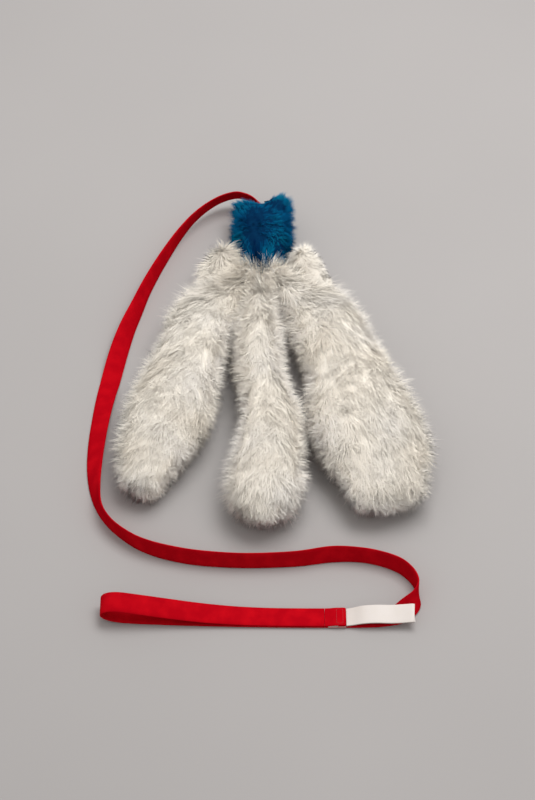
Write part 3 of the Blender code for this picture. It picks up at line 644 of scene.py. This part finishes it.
# %% [markdown]
# ## Under layer of the fur
# Fur has a dense layer that holds the shape, and longer hairs on top. For the dense layer a
# copy of the CAD form is merged and its outer skin is drawn in. A ray along each point's
# normal tells the outside from the hollow for the strip, and a ray inwards tells how thick
# the form is there, so thin necks are drawn in less. Some sides are drawn in further, where
# the photographed wool is thinner than the form.

# %% Under layer
MERGE = 0.01 * MM
OFF_SKIN = 0.05 * MM
NEARBY = 30 * MM
FULL_WALL = 100 * MM
SOFT_ANGLE = 80.0


def under_layer(node, name, depth, share, material, extra):
    """A copy of a CAD form, drawn in by a depth or a share of its wall, and by extra."""
    bm = bmesh.new()
    bm.from_mesh(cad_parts[node].data)
    bmesh.ops.remove_doubles(bm, verts=bm.verts, dist=MERGE)
    bm.normal_update()
    tree = BVHTree.FromBMesh(bm)
    outside = bm.verts.layers.int.new("outside")
    outer, walls = [], []
    for v in bm.verts:
        if tree.ray_cast(v.co + v.normal * OFF_SKIN, v.normal, NEARBY)[0] is None:
            v[outside] = 1
            outer.append(v)
            wall = tree.ray_cast(v.co - v.normal * OFF_SKIN, -v.normal, FULL_WALL)[3]
            walls.append(wall or 0.0)
    places = np.array([tuple(v.co) for v in outer])
    normals = np.array([tuple(v.normal) for v in outer])
    depths = np.minimum(depth, np.array(walls) * share) + extra(places, normals)
    for v, move in zip(outer, normals * -depths[:, None]):
        v.co += Vector(move)
    for _ in range(2):
        bmesh.ops.smooth_vert(bm, verts=outer, factor=0.4, use_axis_x=True,
                              use_axis_y=True, use_axis_z=True)
    bmesh.ops.triangulate(bm, faces=bm.faces)
    bm.normal_update()
    faces = [face for face in bm.faces if all(v[outside] for v in face.verts)]
    corners = np.array([[tuple(v.co) for v in face.verts] for face in faces])
    normals = np.array([[tuple(v.normal) for v in face.verts] for face in faces])
    obj = finish_mesh(name, bm, material, SOFT_ANGLE)
    print(f"{name}: {len(obj.data.polygons)} faces, {len(corners)} of them outside")
    return obj, corners, normals


def under_finish(name, dark, light, scale):
    fleece = Finish(name, Specular_IOR_Level=0.0)
    lumps = fleece.spots(scale, 4.0)
    fine = fleece.spots(scale * 9, 3.0)
    fleece.set("Base Color", fleece.mix((lumps * 0.7 + fine * 0.3 - 0.2).within(), dark, light))
    fleece.set("Roughness", 0.95 - fine * 0.1)
    fleece.bump(fine, 0.35, 1.0 * MM)
    return fleece.material


under_wool = under_finish("under wool", (0.88, 0.81, 0.70), (0.95, 0.91, 0.83), 60.0)
under_blue = under_finish("under fur", (0.0015, 0.012, 0.045), (0.003, 0.045, 0.11), 160.0)
print("under layers ready")

# %% [markdown]
# ## Bare skin near the collar
# Beside the collar the strips still carry wool, but the CAD forms start a little further
# out, so that a tail can turn. There the hairs are rooted on the strips themselves. A band is
# cut out of a copy of the strip with two planes, and its outer triangles take the roots.

# %% Bands of skin
def skin_band(node, low_y, high_y):
    """The outward triangles of a strip between two places along Y, with their normals."""
    bm = bmesh.new()
    bm.from_mesh(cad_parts[node].data)
    bmesh.ops.remove_doubles(bm, verts=bm.verts, dist=MERGE)
    tree = BVHTree.FromBMesh(bm)
    for y, sign in ((low_y, -1), (high_y, 1)):
        geom = bm.verts[:] + bm.edges[:] + bm.faces[:]
        bmesh.ops.bisect_plane(bm, geom=geom, plane_co=(0, y, 0), plane_no=(0, sign, 0),
                               clear_outer=True)
    bmesh.ops.triangulate(bm, faces=bm.faces)
    bm.normal_update()
    corners, normals = [], []
    for face in bm.faces:
        middle = face.calc_center_median()
        if tree.ray_cast(middle + face.normal * OFF_SKIN, face.normal, NEARBY)[0] is None:
            corners.append([tuple(v.co) for v in face.verts])
            normals.append([tuple(face.normal)] * 3)
    bm.free()
    return np.array(corners), np.array(normals)


print("bands can be cut from", sum(n.endswith("tail_skin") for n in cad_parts), "strips")

# %% [markdown]
# ## One hair
# A hair is a three-sided spike that ends in a point. It is drawn once with operators: a cone,
# cut at even heights. Its points are then only two numbers each, the height along the hair
# and the corner, so any bent hair is the same few faces with other places.

# %% Hair pattern
def hair_pattern(steps):
    """Height and angle of each point of a hair, its triangles, and their map."""
    bm = bmesh.new()
    bmesh.ops.create_cone(bm, cap_ends=True, segments=3, radius1=1.0, radius2=0.0, depth=1.0)
    bmesh.ops.translate(bm, verts=bm.verts, vec=(0, 0, 0.5))
    bmesh.ops.remove_doubles(bm, verts=bm.verts, dist=1e-5)
    for k in range(1, steps):
        geom = bm.verts[:] + bm.edges[:] + bm.faces[:]
        bmesh.ops.bisect_plane(bm, geom=geom, plane_co=(0, 0, k / steps), plane_no=(0, 0, 1),
                               dist=1e-6)
    bmesh.ops.triangulate(bm, faces=bm.faces)
    bmesh.ops.recalc_face_normals(bm, faces=bm.faces)
    height = np.array([v.co.z for v in bm.verts])
    angle = np.array([math.atan2(v.co.y, v.co.x) % (2 * math.pi) for v in bm.verts])
    faces = np.array([[v.index for v in f.verts] for f in bm.faces])
    turn = angle[faces] / (2 * math.pi)
    spread_out = turn.max(1) - turn.min(1) > 0.5
    turn = np.where(spread_out[:, None] & (turn < 0.5), turn + 1.0, turn)
    tips = height[faces] > 0.999
    others = np.where(tips, 0.0, turn).sum(1) / np.maximum((~tips).sum(1), 1)
    turn = np.where(tips, others[:, None], turn)
    rise = np.clip(height[faces], 0.01, 0.99)
    bm.free()
    return {"steps": steps, "height": height, "angle": angle, "faces": faces,
            "map": np.stack([turn - turn.min(), rise], 2)}


SHORT_HAIR = hair_pattern(2)
LONG_HAIR = hair_pattern(3)
for pattern in (SHORT_HAIR, LONG_HAIR):
    print("one hair:", len(pattern["height"]), "points and", len(pattern["faces"]), "triangles")

# %% [markdown]
# ## Growing a coat
# Roots are scattered over the under layer by area. Wool grows in tufts: hairs that start
# close together lean the same way, share a gentle curl and draw together towards their tips.
# So each hair belongs to the nearest tuft, and its curve is pulled to the tuft's own. The
# coat also leans along the tail and droops a little. It is held between the surface that the
# toy lies on and a ceiling, so no loose hair makes the toy much taller than its forms.

# %% Roots
TONES = 64
CEILING = 75.5 * MM
UNDERSIDE = -0.6
UNDERSIDE_SHARE = 0.35


def unit(vectors):
    return vectors / np.maximum(np.linalg.norm(vectors, axis=-1, keepdims=True), 1e-9)


def ease(values, low, high):
    """0 below low, 1 above high, and a smooth step between them."""
    t = np.clip((values - low) / (high - low), 0, 1)
    return t * t * (3 - 2 * t)


def hump(values, middle, width):
    """1 at the middle, and falling smoothly to 0 on both sides."""
    return np.exp(-((values - middle) / width) ** 2)


def scatter(corners, normals, count, rng, top_share):
    """Random roots and normals over triangles, fewer where the form faces up or down."""
    sides = np.cross(corners[:, 1] - corners[:, 0], corners[:, 2] - corners[:, 0])
    area = np.linalg.norm(sides, axis=1)
    facing = sides[:, 2] / np.maximum(area, 1e-12)
    upward = 1 - (1 - top_share) * ease(facing, 0.2, 0.8)
    weight = area * np.where(facing < UNDERSIDE, UNDERSIDE_SHARE, upward)
    pick = rng.choice(len(corners), count, p=weight / weight.sum())
    a, b = rng.random(count), rng.random(count)
    fold = a + b > 1
    a[fold], b[fold] = 1 - a[fold], 1 - b[fold]
    shares = np.stack([1 - a - b, a, b], 1)[:, :, None]
    return (corners[pick] * shares).sum(1), unit((normals[pick] * shares).sum(1))


def along_line(places, line):
    """The level direction of the nearest span of a line of (x, y) points."""
    line = np.array(line, float)
    starts, spans = line[:-1], np.diff(line, axis=0)
    offset = places[:, None, :2] - starts
    t = np.clip((offset * spans).sum(2) / (spans ** 2).sum(1), 0, 1)
    gap = np.linalg.norm(offset - t[:, :, None] * spans, axis=2)
    heading = unit(spans[gap.argmin(1)])
    return np.column_stack([heading, np.zeros(len(heading))])


def waves(places, size, shift=0.0):
    """Slow noise from about -1 to 1 at each place, with lumps of the given size."""
    return np.array([noise.noise(Vector(p) / size + Vector((shift, shift, shift)))
                     for p in places])


print("hairs carry one of", TONES, "tones_and_painted_light")

# %% Tufts and curves
LAID_TILT = 0.75
LAID_COMB = 0.9
TUFT_SPREAD = 0.12
HAIR_SPREAD = 0.14
SHORTEST = 0.4
GATHER_POWER = 1.3


def hair_curves(roots, normals, combs, factors, rule, rng):
    """The bent middle line of each hair, from root to tip, and its two section axes."""
    count = len(roots)
    number = max(1, int(count / rule["hairs_per_tuft"]))
    chosen = rng.choice(count, number, replace=False)
    tree = kdtree.KDTree(number)
    for i, root in enumerate(roots[chosen]):
        tree.insert(root, i)
    tree.balance()
    owner = np.array([tree.find(root)[1] for root in roots])

    tilt = (rng.normal(size=(number, 3)) * rule["tousle"])[owner]
    tilt += rng.normal(size=(count, 3)) * rule["fray"]
    tilt -= normals * (tilt * normals).sum(1)[:, None] * LAID_TILT
    combs = combs - normals * (combs * normals).sum(1)[:, None] * LAID_COMB
    calm = 1 - rule["calm"] * ease(normals[:, 2], 0.1, 0.8)[:, None]
    heading = unit((normals * rule["stand"] + tilt) * calm + combs * rule["lean"])
    lumps = 1 + rule["lumps"] * waves(roots, rule["lump_size"])
    tuft_length = 1 + rng.normal(size=number) * TUFT_SPREAD
    length = lumps * tuft_length[owner] * (1 + rng.normal(size=count) * HAIR_SPREAD)
    length = (rule["length"] * factors * np.maximum(length, SHORTEST))[:, None, None]

    t = np.linspace(0, 1, rule["pattern"]["steps"] + 1)[None, :, None]
    roots = roots - normals * rule["sunk"]
    fall = combs[:, None] * rule["sweep"] + np.array([0, 0, -rule["droop"]])
    curve = roots[:, None] + heading[:, None] * length * t + fall * length * t * t
    middle = curve[chosen][owner]
    curve = curve + (middle - curve) * rule["gather"] * t ** GATHER_POWER

    side = unit(np.cross(normals, heading) + 0.05 * np.cross(combs, heading))
    other = unit(np.cross(heading, side))
    phase = (rng.random(number) * 2 * math.pi)[owner][:, None, None]
    turns = 2 * math.pi * rule["turns"] * t
    curl = rule["curl"] * t
    curve = curve + side[:, None] * curl * (np.cos(phase + turns) - np.cos(phase))
    curve = curve + other[:, None] * curl * (np.sin(phase + turns) - np.sin(phase))
    lowest = LAYER_REST + rule["radius"] + rng.random((count, 1)) * rule["floor_spread"]
    highest = CEILING - rng.random((count, 1)) * rule["floor_spread"]
    curve[:, :, 2] = np.clip(curve[:, :, 2], lowest, highest)
    return curve, side, other


print("tufts ready")

# %% [markdown]
# ## Hairs as a mesh
# Every hair repeats the pattern's faces, so the whole mesh is filled in at once. A hair is
# flatter than it is wide, with its broad side away from the form, so that few hairs cover
# much. For softness its shading follows the form under it more than its own three sides,
# and on top of the toy it leans to the sky, as light does that has passed through wool.

# %% Hair mesh
FLATNESS = 0.30
FORM_SHARE = 0.5
SKY_SHARE = 1.0
SKY_FROM, SKY_TO = -0.3, 0.6
OWN_SHARE = 0.06
TAPER = 1.6
COLUMN_SHARE = 0.96


def hair_mesh(name, curve, side, other, normals, rule, tone, material):
    """Many hairs as one mesh, with the tone and the height along the hair on its map."""
    pattern, count = rule["pattern"], len(curve)
    height, angle = pattern["height"], pattern["angle"]
    step = np.rint(height * pattern["steps"]).astype(int)
    slim = rule["radius"] * (1 - height ** TAPER)[None, :, None]
    across = np.cos(angle)[None, :, None] * side[:, None]
    through = np.sin(angle)[None, :, None] * other[:, None]
    points = curve[:, step] + slim * (across + FLATNESS * through)
    corners, sides = len(height), len(pattern["faces"])
    index = (pattern["faces"][None] + (np.arange(count) * corners)[:, None, None]).reshape(-1)
    mesh = bpy.data.meshes.new(name)
    mesh.vertices.add(count * corners)
    mesh.vertices.foreach_set("co", points.astype(np.float32).reshape(-1))
    mesh.loops.add(len(index))
    mesh.loops.foreach_set("vertex_index", index.astype(np.int32))
    mesh.polygons.add(count * sides)
    mesh.polygons.foreach_set("loop_start", np.arange(0, len(index), 3, dtype=np.int32))
    mesh.update(calc_edges=True)
    mesh.shade_smooth()
    column = np.floor(np.clip(tone, 0, 0.999) * TONES) / TONES
    u = column[:, None, None] + pattern["map"][None, :, :, 0] * (COLUMN_SHARE / TONES)
    v = np.broadcast_to(pattern["map"][None, :, :, 1], u.shape)
    flat = np.stack([u, v], 3).astype(np.float32).reshape(-1)
    for layer in ("strand", "OFBake"):
        mesh.uv_layers.new(name=layer).data.foreach_set("uv", flat)
    own = unit(FLATNESS * across + through)
    sky = SKY_SHARE * ease(normals[:, 2], SKY_FROM, SKY_TO)
    soft = unit(normals * FORM_SHARE + sky[:, None] * np.array([0, 0, 1]))
    shading = unit(soft[:, None] + own * OWN_SHARE)
    mesh.normals_split_custom_set_from_vertices(shading.reshape(-1, 3).tolist())
    mesh.materials.append(material)
    obj = bpy.data.objects.new(name, mesh)
    bpy.context.scene.collection.objects.link(obj)
    return obj


print("hair meshes ready")

# %% [markdown]
# ## Colour of the hairs
# A hair's map holds its tone across and its height along. The colour runs from the root
# colour, painted shade low in the coat, to the tip. The tone, which holds random patches and
# some painted light and shade, moves the tip through three colours. Everything comes from
# that map, so the same colours can be baked from any hair.

# %% Hair materials
ROOT_SHADE_FADE = 0.8


def hair_finish(name, root, tips, spread_at, gloss):
    coat = Finish(name, Specular_IOR_Level=gloss)
    tone, height, where = coat.map("strand")
    stops = [(k / (len(tips) - 1), colour) for k, colour in enumerate(tips)]
    # The root colour is painted shade low in the coat, and it fades out up the hair.
    share = (height * (1 / spread_at)).within().power(ROOT_SHADE_FADE)
    coat.set("Base Color", coat.mix(share, root, coat.ramp(tone, *stops)))
    coat.set("Roughness", 0.85 - height * 0.15)
    return coat.material


# Each coat's first colour is its roots' painted shade; the list holds its tip colours.
white_wool = hair_finish("natural wool", (0.96, 0.88, 0.77), [
    (0.94, 0.84, 0.70), (0.98, 0.915, 0.81), (0.98, 0.935, 0.89)], 0.6, 0.1)
blue_fur = hair_finish("dyed fur", (0.001, 0.018, 0.065), [
    (0.001, 0.013, 0.06), (0.002, 0.085, 0.20), (0.003, 0.19, 0.31)], 0.7, 0.0)
print("hair colours ready")

# %% [markdown]
# ## Two kinds of hair
# Dense wool lies along the form and makes its soft surface. A thin layer of finer guard
# hairs stands out of it and makes the fine halo along every outline. Each kind is one set of
# numbers, and each coat has a seed of its own.

# %% Coats
HAIRS_PER_PIECE = 15000
TONE_NOISE = 0.06
WOOL_RULE = {"pattern": SHORT_HAIR, "length": 18 * MM, "stand": 0.25, "lean": 0.35,
             "sweep": 0.10, "droop": 0.02, "tousle": 0.22, "fray": 0.24, "gather": 0.08,
             "hairs_per_tuft": 30, "curl": 1.2 * MM, "turns": 0.7, "radius": 0.38 * MM,
             "lumps": 0.18, "lump_size": 30 * MM, "floor_spread": 2.5 * MM, "sunk": 1.5 * MM,
             "top_share": 1.0, "top_length": 1.0, "calm": 0.65}
GUARD_RULE = dict(WOOL_RULE, pattern=LONG_HAIR, length=17 * MM, stand=0.90, fray=0.36,
                  gather=0.35, hairs_per_tuft=10, curl=1.8 * MM, radius=0.20 * MM,
                  top_share=0.05, top_length=0.6)
SEEDS = {coat: SEED + 10 * k
         for k, coat in enumerate(("tail", "shoulder", "collar", "neck", "rim"))}


def grow(name, body, surface, material, comb, kinds, seed, tones_and_painted_light, factor=None):
    """Hairs of one or more kinds over triangles, in as many pieces as they need."""
    for k, (rule, count) in enumerate(kinds):
        rng = np.random.default_rng(seed * 10 + k)
        count = count
        roots, normals = scatter(*surface, count, rng, rule["top_share"])
        combs = comb(roots)
        factors = factor(roots, normals, combs) if factor else np.ones(count)
        factors = factors * (1 - (1 - rule["top_length"]) * ease(normals[:, 2], 0.3, 0.9))
        curve, side, other = hair_curves(roots, normals, combs, factors, rule, rng)
        tone = tones_and_painted_light(roots, normals) + rng.normal(size=count) * TONE_NOISE
        parts = np.array_split(np.argsort(roots[:, 1]), -(-count // HAIRS_PER_PIECE))
        for i, part in enumerate(parts):
            piece = hair_mesh(f"{name}_{k + 1}_{i + 1}", curve[part], side[part], other[part],
                              normals[part], rule, tone[part], material)
            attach(piece, body)
        print(f"{name}: {count} hairs in {len(parts)} pieces")


def cover(node, body, layer):
    """The under layer takes the CAD form's place, and its outside takes the roots."""
    under, corners, normals = layer
    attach(under, body)
    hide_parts(node)
    return corners, normals


def wool_tones_and_side_light(roots, normals):
    """Cream on top and cooler at the sides, a painted light that follows which way the form
    faces, with slow patches of tone.
    """
    # The facing term is painted light: sides and undersides get the cooler, paler tips.
    return 0.45 + 0.35 * waves(roots, 40 * MM, 4.0) + 0.25 * (1 - normals[:, 2])


print("two kinds of wool")

# %% [markdown]
# ## The tails
# Each tail has its own line from the collar to its tip. Its hairs lean along that line, and
# at the end they fan out by themselves, because the form's normals turn there. Towards the
# collar the hairs are longer, so the three necks close up into one soft mass. The end and
# some bands along the sides are drawn in, with shorter hairs, to bring out each tail's shape.

# %% Tail wool
TAIL_LINES = {
    "left": [(-0.012, -0.047), (-0.030, -0.073), (-0.062, -0.125), (-0.087, -0.213),
             (-0.1055, -0.300), (-0.120, -0.357)],
    "middle": [(-0.004, -0.047), (-0.0045, -0.093), (-0.004, -0.175), (0.005, -0.260),
               (0.0015, -0.391)],
    "right": [(0.004, -0.047), (0.024, -0.072), (0.060, -0.125), (0.089, -0.212),
              (0.110, -0.302), (0.124, -0.374)],
}
TAIL_HAIRS = {"left": (33000, 8500), "middle": (27000, 7500), "right": (39500, 10500)}
TAIL_DEPTH, TAIL_SHARE = 4.5 * MM, 0.20
END_DEPTHS = {"left": 15 * MM, "middle": 10 * MM, "right": 9 * MM}
SLIM_BANDS = {
    "left": [(-0.180, 0.075, -1, 7 * MM), (-0.325, 0.045, 1, 12 * MM),
             (-0.200, 0.060, 1, 3 * MM)],
    "middle": [(-0.260, 0.050, -1, 7 * MM), (-0.205, 0.035, 1, 6 * MM),
               (-0.300, 0.030, 1, 3 * MM)],
    "right": [(-0.180, 0.085, 1, 6 * MM), (-0.205, 0.035, -1, 7 * MM),
              (-0.330, 0.035, -1, 7 * MM)],
}


def slimmer(places, normals, bands):
    """The depth of each band (middle, width, side, depth) at places that face its side."""
    total = np.zeros(len(places))
    for middle, width, side, depth in bands:
        total += depth * hump(places[:, 1], middle, width) * np.clip(normals[:, 0] * side, 0, 1)
    return total


def tail_comb(line):
    return lambda roots: along_line(roots, line)


def tail_extra(line, end_depth, bands):
    """How much further the end and some sides of a tail are drawn in."""
    ahead = unit(np.append(np.diff(np.array(line[-2:]), axis=0)[0], 0.0))
    return lambda places, normals: (end_depth * np.clip(normals @ ahead, 0, 1)
                                    + slimmer(places, normals, bands))


def tail_factor(line, bands):
    """Longer hairs on top of the neck, and shorter ones round the end and in the bands."""
    end = np.array(line[-1])

    def factor(roots, normals, combs):
        ahead = np.clip((normals * combs).sum(1), 0, 1)
        steep = np.abs(normals[:, 2])
        neck = ease(roots[:, 1], -0.125, -0.075)
        close = 1 - ease(np.linalg.norm(roots[:, :2] - end, axis=1), 0.012, 0.050)
        slim = slimmer(roots, normals, bands) / (30 * MM)
        return 1 + 0.8 * neck * steep - 0.30 * ahead - 0.20 * close - slim
    return factor


for i, (tail, line) in enumerate(TAIL_LINES.items()):
    node = f"{tail}_tail_wool"
    dense, guard = TAIL_HAIRS[tail]
    surface = cover(node, f"{tail}_tail",
                    under_layer(node, f"{tail}_tail_under_wool", TAIL_DEPTH, TAIL_SHARE,
                                under_wool, tail_extra(line, END_DEPTHS[tail], SLIM_BANDS[tail])))
    grow(f"{tail}_tail_coat", f"{tail}_tail", surface, white_wool, tail_comb(line),
         [(WOOL_RULE, dense), (GUARD_RULE, guard)], SEEDS["tail"] + i, wool_tones_and_side_light,
         tail_factor(line, SLIM_BANDS[tail]))

# %% [markdown]
# ## Necks
# The wool beside the collar grows straight from the strips. On the collar's side of the flex
# line it belongs to the sewn ends, and on the other side it moves with its tail. These hairs
# are long and lean far over, so that they drape across the start of the tails.

# %% Neck wool
NECK_RULE = dict(WOOL_RULE, length=29 * MM, stand=0.58, lean=0.90, tousle=0.20, fray=0.24,
                 sweep=0.10, calm=0.0)
RIM_RULE = dict(NECK_RULE, length=23 * MM, stand=0.45)
NECK_HAIRS = 5200
RIM_HAIRS = 1100
NECK_BAND = (-0.0640, -0.0455)
RIM_BAND = (-0.0460, -0.0405)


def neck_factor(roots, normals, combs):
    """Short beside the collar, and longer further out."""
    return 0.70 + 0.30 * ease(-roots[:, 1], 0.046, 0.055)


for i, (tail, line) in enumerate(TAIL_LINES.items()):
    grow(f"{tail}_neck_coat", f"{tail}_tail",
         skin_band(f"{tail}_tail_skin", *NECK_BAND), white_wool, tail_comb(line),
         [(NECK_RULE, NECK_HAIRS)], SEEDS["neck"] + i, wool_tones_and_side_light, neck_factor)
    grow(f"{tail}_rim_coat", "collar_and_lead",
         skin_band(f"{tail}_tail_sewn_end", *RIM_BAND), white_wool, tail_comb(line),
         [(RIM_RULE, RIM_HAIRS)], SEEDS["rim"] + i, wool_tones_and_side_light)

# %% [markdown]
# ## The shoulders
# The outer strips' sewn ends push their wool out beside the collar. Close to the collar the
# wool leans over the collar's lower corners, and further out it fans away from it.

# %% Shoulder wool
COLLAR_X = -0.004
SHOULDER_DEPTH, SHOULDER_SHARE = 5 * MM, 0.30
SHOULDER_HAIRS, SHOULDER_GUARD_HAIRS = 5200, 1300


def shoulder_comb(roots):
    """Over the collar's corner close to it, and outwards further away."""
    out = np.sign(roots[:, 0] - COLLAR_X)
    away = 2 * ease(np.abs(roots[:, 0] - COLLAR_X), 0.034, 0.050) - 1
    return unit(np.column_stack([out * away, np.full(len(roots), -0.45), np.zeros(len(roots))]))


def shoulder_extra(places, normals):
    """The tops are drawn in further, so that only loose hairs reach the form's own height."""
    out = np.sign(places[:, 0] - COLLAR_X)
    return (6 * MM * np.clip(normals @ (0.0, 0.6, 0.8), 0, 1)
            + 5 * MM * np.clip(normals[:, 0] * out, 0, 1))


def shoulder_factor(roots, normals, combs):
    """Longer hairs over the collar's corner, and towards the tail, where the form is low."""
    inner = 1 - ease(np.abs(roots[:, 0] - COLLAR_X), 0.036, 0.046)
    corner = ease(normals[:, 2], 0.1, 0.5) * ease(-roots[:, 1], 0.004, 0.018)
    outer = ease(np.abs(roots[:, 0] - COLLAR_X), 0.044, 0.060)
    low = ease(-roots[:, 1], 0.026, 0.050)
    return 1 + 1.1 * low * (1 - outer) - 0.3 * outer + 0.8 * inner * corner


SHOULDER_RULE = dict(WOOL_RULE, length=13 * MM, stand=0.30, lean=0.45, gather=0.30, calm=0.3)
SHOULDER_GUARD = dict(GUARD_RULE, length=12 * MM, lean=0.60, top_share=0.6, top_length=0.9)
for i, part in enumerate(("left", "right")):
    node = f"{part}_shoulder_wool"
    surface = cover(node, "collar_and_lead",
                    under_layer(node, f"{part}_shoulder_under_wool", SHOULDER_DEPTH,
                                SHOULDER_SHARE, under_wool, shoulder_extra))
    grow(f"{part}_shoulder_coat", "collar_and_lead", surface, white_wool, shoulder_comb,
         [(SHOULDER_RULE, SHOULDER_HAIRS), (SHOULDER_GUARD, SHOULDER_GUARD_HAIRS)],
         SEEDS["shoulder"] + i, wool_tones_and_side_light, shoulder_factor)

# %% [markdown]
# ## The collar
# The collar's pile is short, dense and dyed. It is brushed towards the head in the two lobes
# and towards the tails at its lower rim, where its longer hairs end in a point over the
# white wool. Beside the crease it is short, so the crease and the hollows stay dark, and
# the hair colour there is painted darker too, as painted shade.

# %% Collar fur
CREASE_X = -0.011
HOLLOW = (0.020, 0.012)
COLLAR_DEPTH, COLLAR_SHARE = 3.5 * MM, 0.25
COLLAR_HAIRS, COLLAR_GUARD_HAIRS = 16000, 2500


def collar_comb(roots):
    """Towards the nearer end of the collar, away from the crease, and in at the lower rim."""
    x, y = roots[:, 0] - COLLAR_X, roots[:, 1]
    head = ease(y, 0.000, 0.030)
    rim = ease(-y, 0.004, 0.030)
    apart = np.clip((roots[:, 0] - CREASE_X) / 0.010, -1, 1) * 0.5
    return np.column_stack([apart * (1 - rim) - x / 0.030 * rim * 0.9, head - 0.3 - rim,
                            np.zeros(len(roots))])


def collar_factor(roots, normals, combs):
    """Short hairs in the crease and the hollows, long ones at the lower rim."""
    x, y = roots[:, 0], roots[:, 1]
    crease = hump(x, CREASE_X, 0.0045) * ease(-y, -0.030, -0.015)
    hollow = hump(x, HOLLOW[0], 0.007) * hump(y, HOLLOW[1], 0.012)
    rim = ease(-y, 0.010, 0.034) * hump(x, COLLAR_X, 0.012)
    head = ease(y, 0.034, 0.046)
    notch = ease(y, 0.024, 0.036) * hump(x, -0.005, 0.007)
    sides = ease(np.abs(x - COLLAR_X), 0.014, 0.026) * (1 - 1.6 * ease(-y, 0.004, 0.024))
    return 1 + 0.4 * sides - 0.45 * crease - 0.35 * hollow + 3.4 * rim - 0.25 * head - 0.4 * notch


def collar_tones_and_hollow_shade(roots, normals):
    """Painted shade: darker in the crease and the hollows, lighter on the lobes, with slow
    patches of tone.
    """
    x, y = roots[:, 0], roots[:, 1]
    crease = hump(x, CREASE_X, 0.007) * ease(-y, -0.028, -0.010)
    hollow = hump(x, HOLLOW[0], 0.008) * hump(y, HOLLOW[1], 0.014)
    # The crease and hollow terms are painted shade.
    return 0.62 + 0.35 * waves(roots, 16 * MM, 9.0) - 0.55 * crease - 0.40 * hollow


def collar_extra(places, normals):
    """The head of the collar is drawn in a little further."""
    return 1.5 * MM * np.clip(normals[:, 1], 0, 1)


COLLAR_RULE = dict(WOOL_RULE, length=8 * MM, stand=0.50, lean=0.60, sweep=0.25, droop=0.05,
                   tousle=0.24, fray=0.20, gather=0.45, hairs_per_tuft=14, curl=0.6 * MM,
                   turns=0.5, radius=0.32 * MM, lumps=0.22, lump_size=12 * MM,
                   floor_spread=1.5 * MM, sunk=2.0 * MM)
COLLAR_GUARD = dict(COLLAR_RULE, pattern=LONG_HAIR, length=9 * MM, stand=1.0, radius=0.14 * MM,
                    top_share=0.4)
surface = cover("collar_fur", "collar_and_lead",
                under_layer("collar_fur", "collar_under_fur", COLLAR_DEPTH, COLLAR_SHARE,
                            under_blue, collar_extra))
grow("collar_coat", "collar_and_lead", surface, blue_fur, collar_comb,
     [(COLLAR_RULE, COLLAR_HAIRS), (COLLAR_GUARD, COLLAR_GUARD_HAIRS)], SEEDS["collar"],
     collar_tones_and_hollow_shade, collar_factor)

# %% [markdown]
# ## Studio
# A plain pale floor, one broad soft lamp and an even sky. The lamp hangs high above, a little
# to the right and behind the toy, so the tops are bright, and soft shadows fall to the left
# and towards the camera.

# %% Floor, lamps and sky
FLOOR_REACH = 30.0
FLOOR_DARK = (0.355, 0.337, 0.330)
FLOOR_LIGHT = (0.385, 0.366, 0.358)
KEY_PLACE = (0.42, 0.30, 1.75)
KEY_AIM = (0.0, -0.18, 0.0)
KEY_SIZE = (1.5, 1.0)
KEY_POWER = 27.5
SKY_COLOUR = (1.0, 0.99, 0.98, 1.0)
SKY_STRENGTH = 0.7

floor_bm = bmesh.new()
bmesh.ops.create_grid(floor_bm, x_segments=1, y_segments=1, size=FLOOR_REACH)
floor_paint = Finish("pale floor")
speck = floor_paint.spots(3.0, 2.0)
floor_paint.set("Base Color", floor_paint.mix(speck, FLOOR_DARK, FLOOR_LIGHT))
floor_paint.set("Roughness", 0.92 - speck * 0.04)
floor = finish_mesh("floor", floor_bm, floor_paint.material)


def soft_lamp(name, place, aim, size, power):
    data = bpy.data.lights.new(name, "AREA")
    data.shape = "RECTANGLE"
    data.size, data.size_y = size
    data.energy = power
    lamp = bpy.data.objects.new(name, data)
    lamp.location = place
    direction = Vector(aim) - Vector(place)
    lamp.rotation_euler = direction.to_track_quat("-Z", "Y").to_euler()
    bpy.context.scene.collection.objects.link(lamp)


soft_lamp("key_lamp", KEY_PLACE, KEY_AIM, KEY_SIZE, KEY_POWER)
world = bpy.data.worlds.new("sky")
world.use_nodes = True
background = world.node_tree.nodes["Background"].inputs
background["Color"].default_value = SKY_COLOUR
background["Strength"].default_value = SKY_STRENGTH
bpy.context.scene.world = world
bpy.context.scene.view_settings.view_transform = "Standard"
print("studio ready")

# %% Finish
print("scene finished")
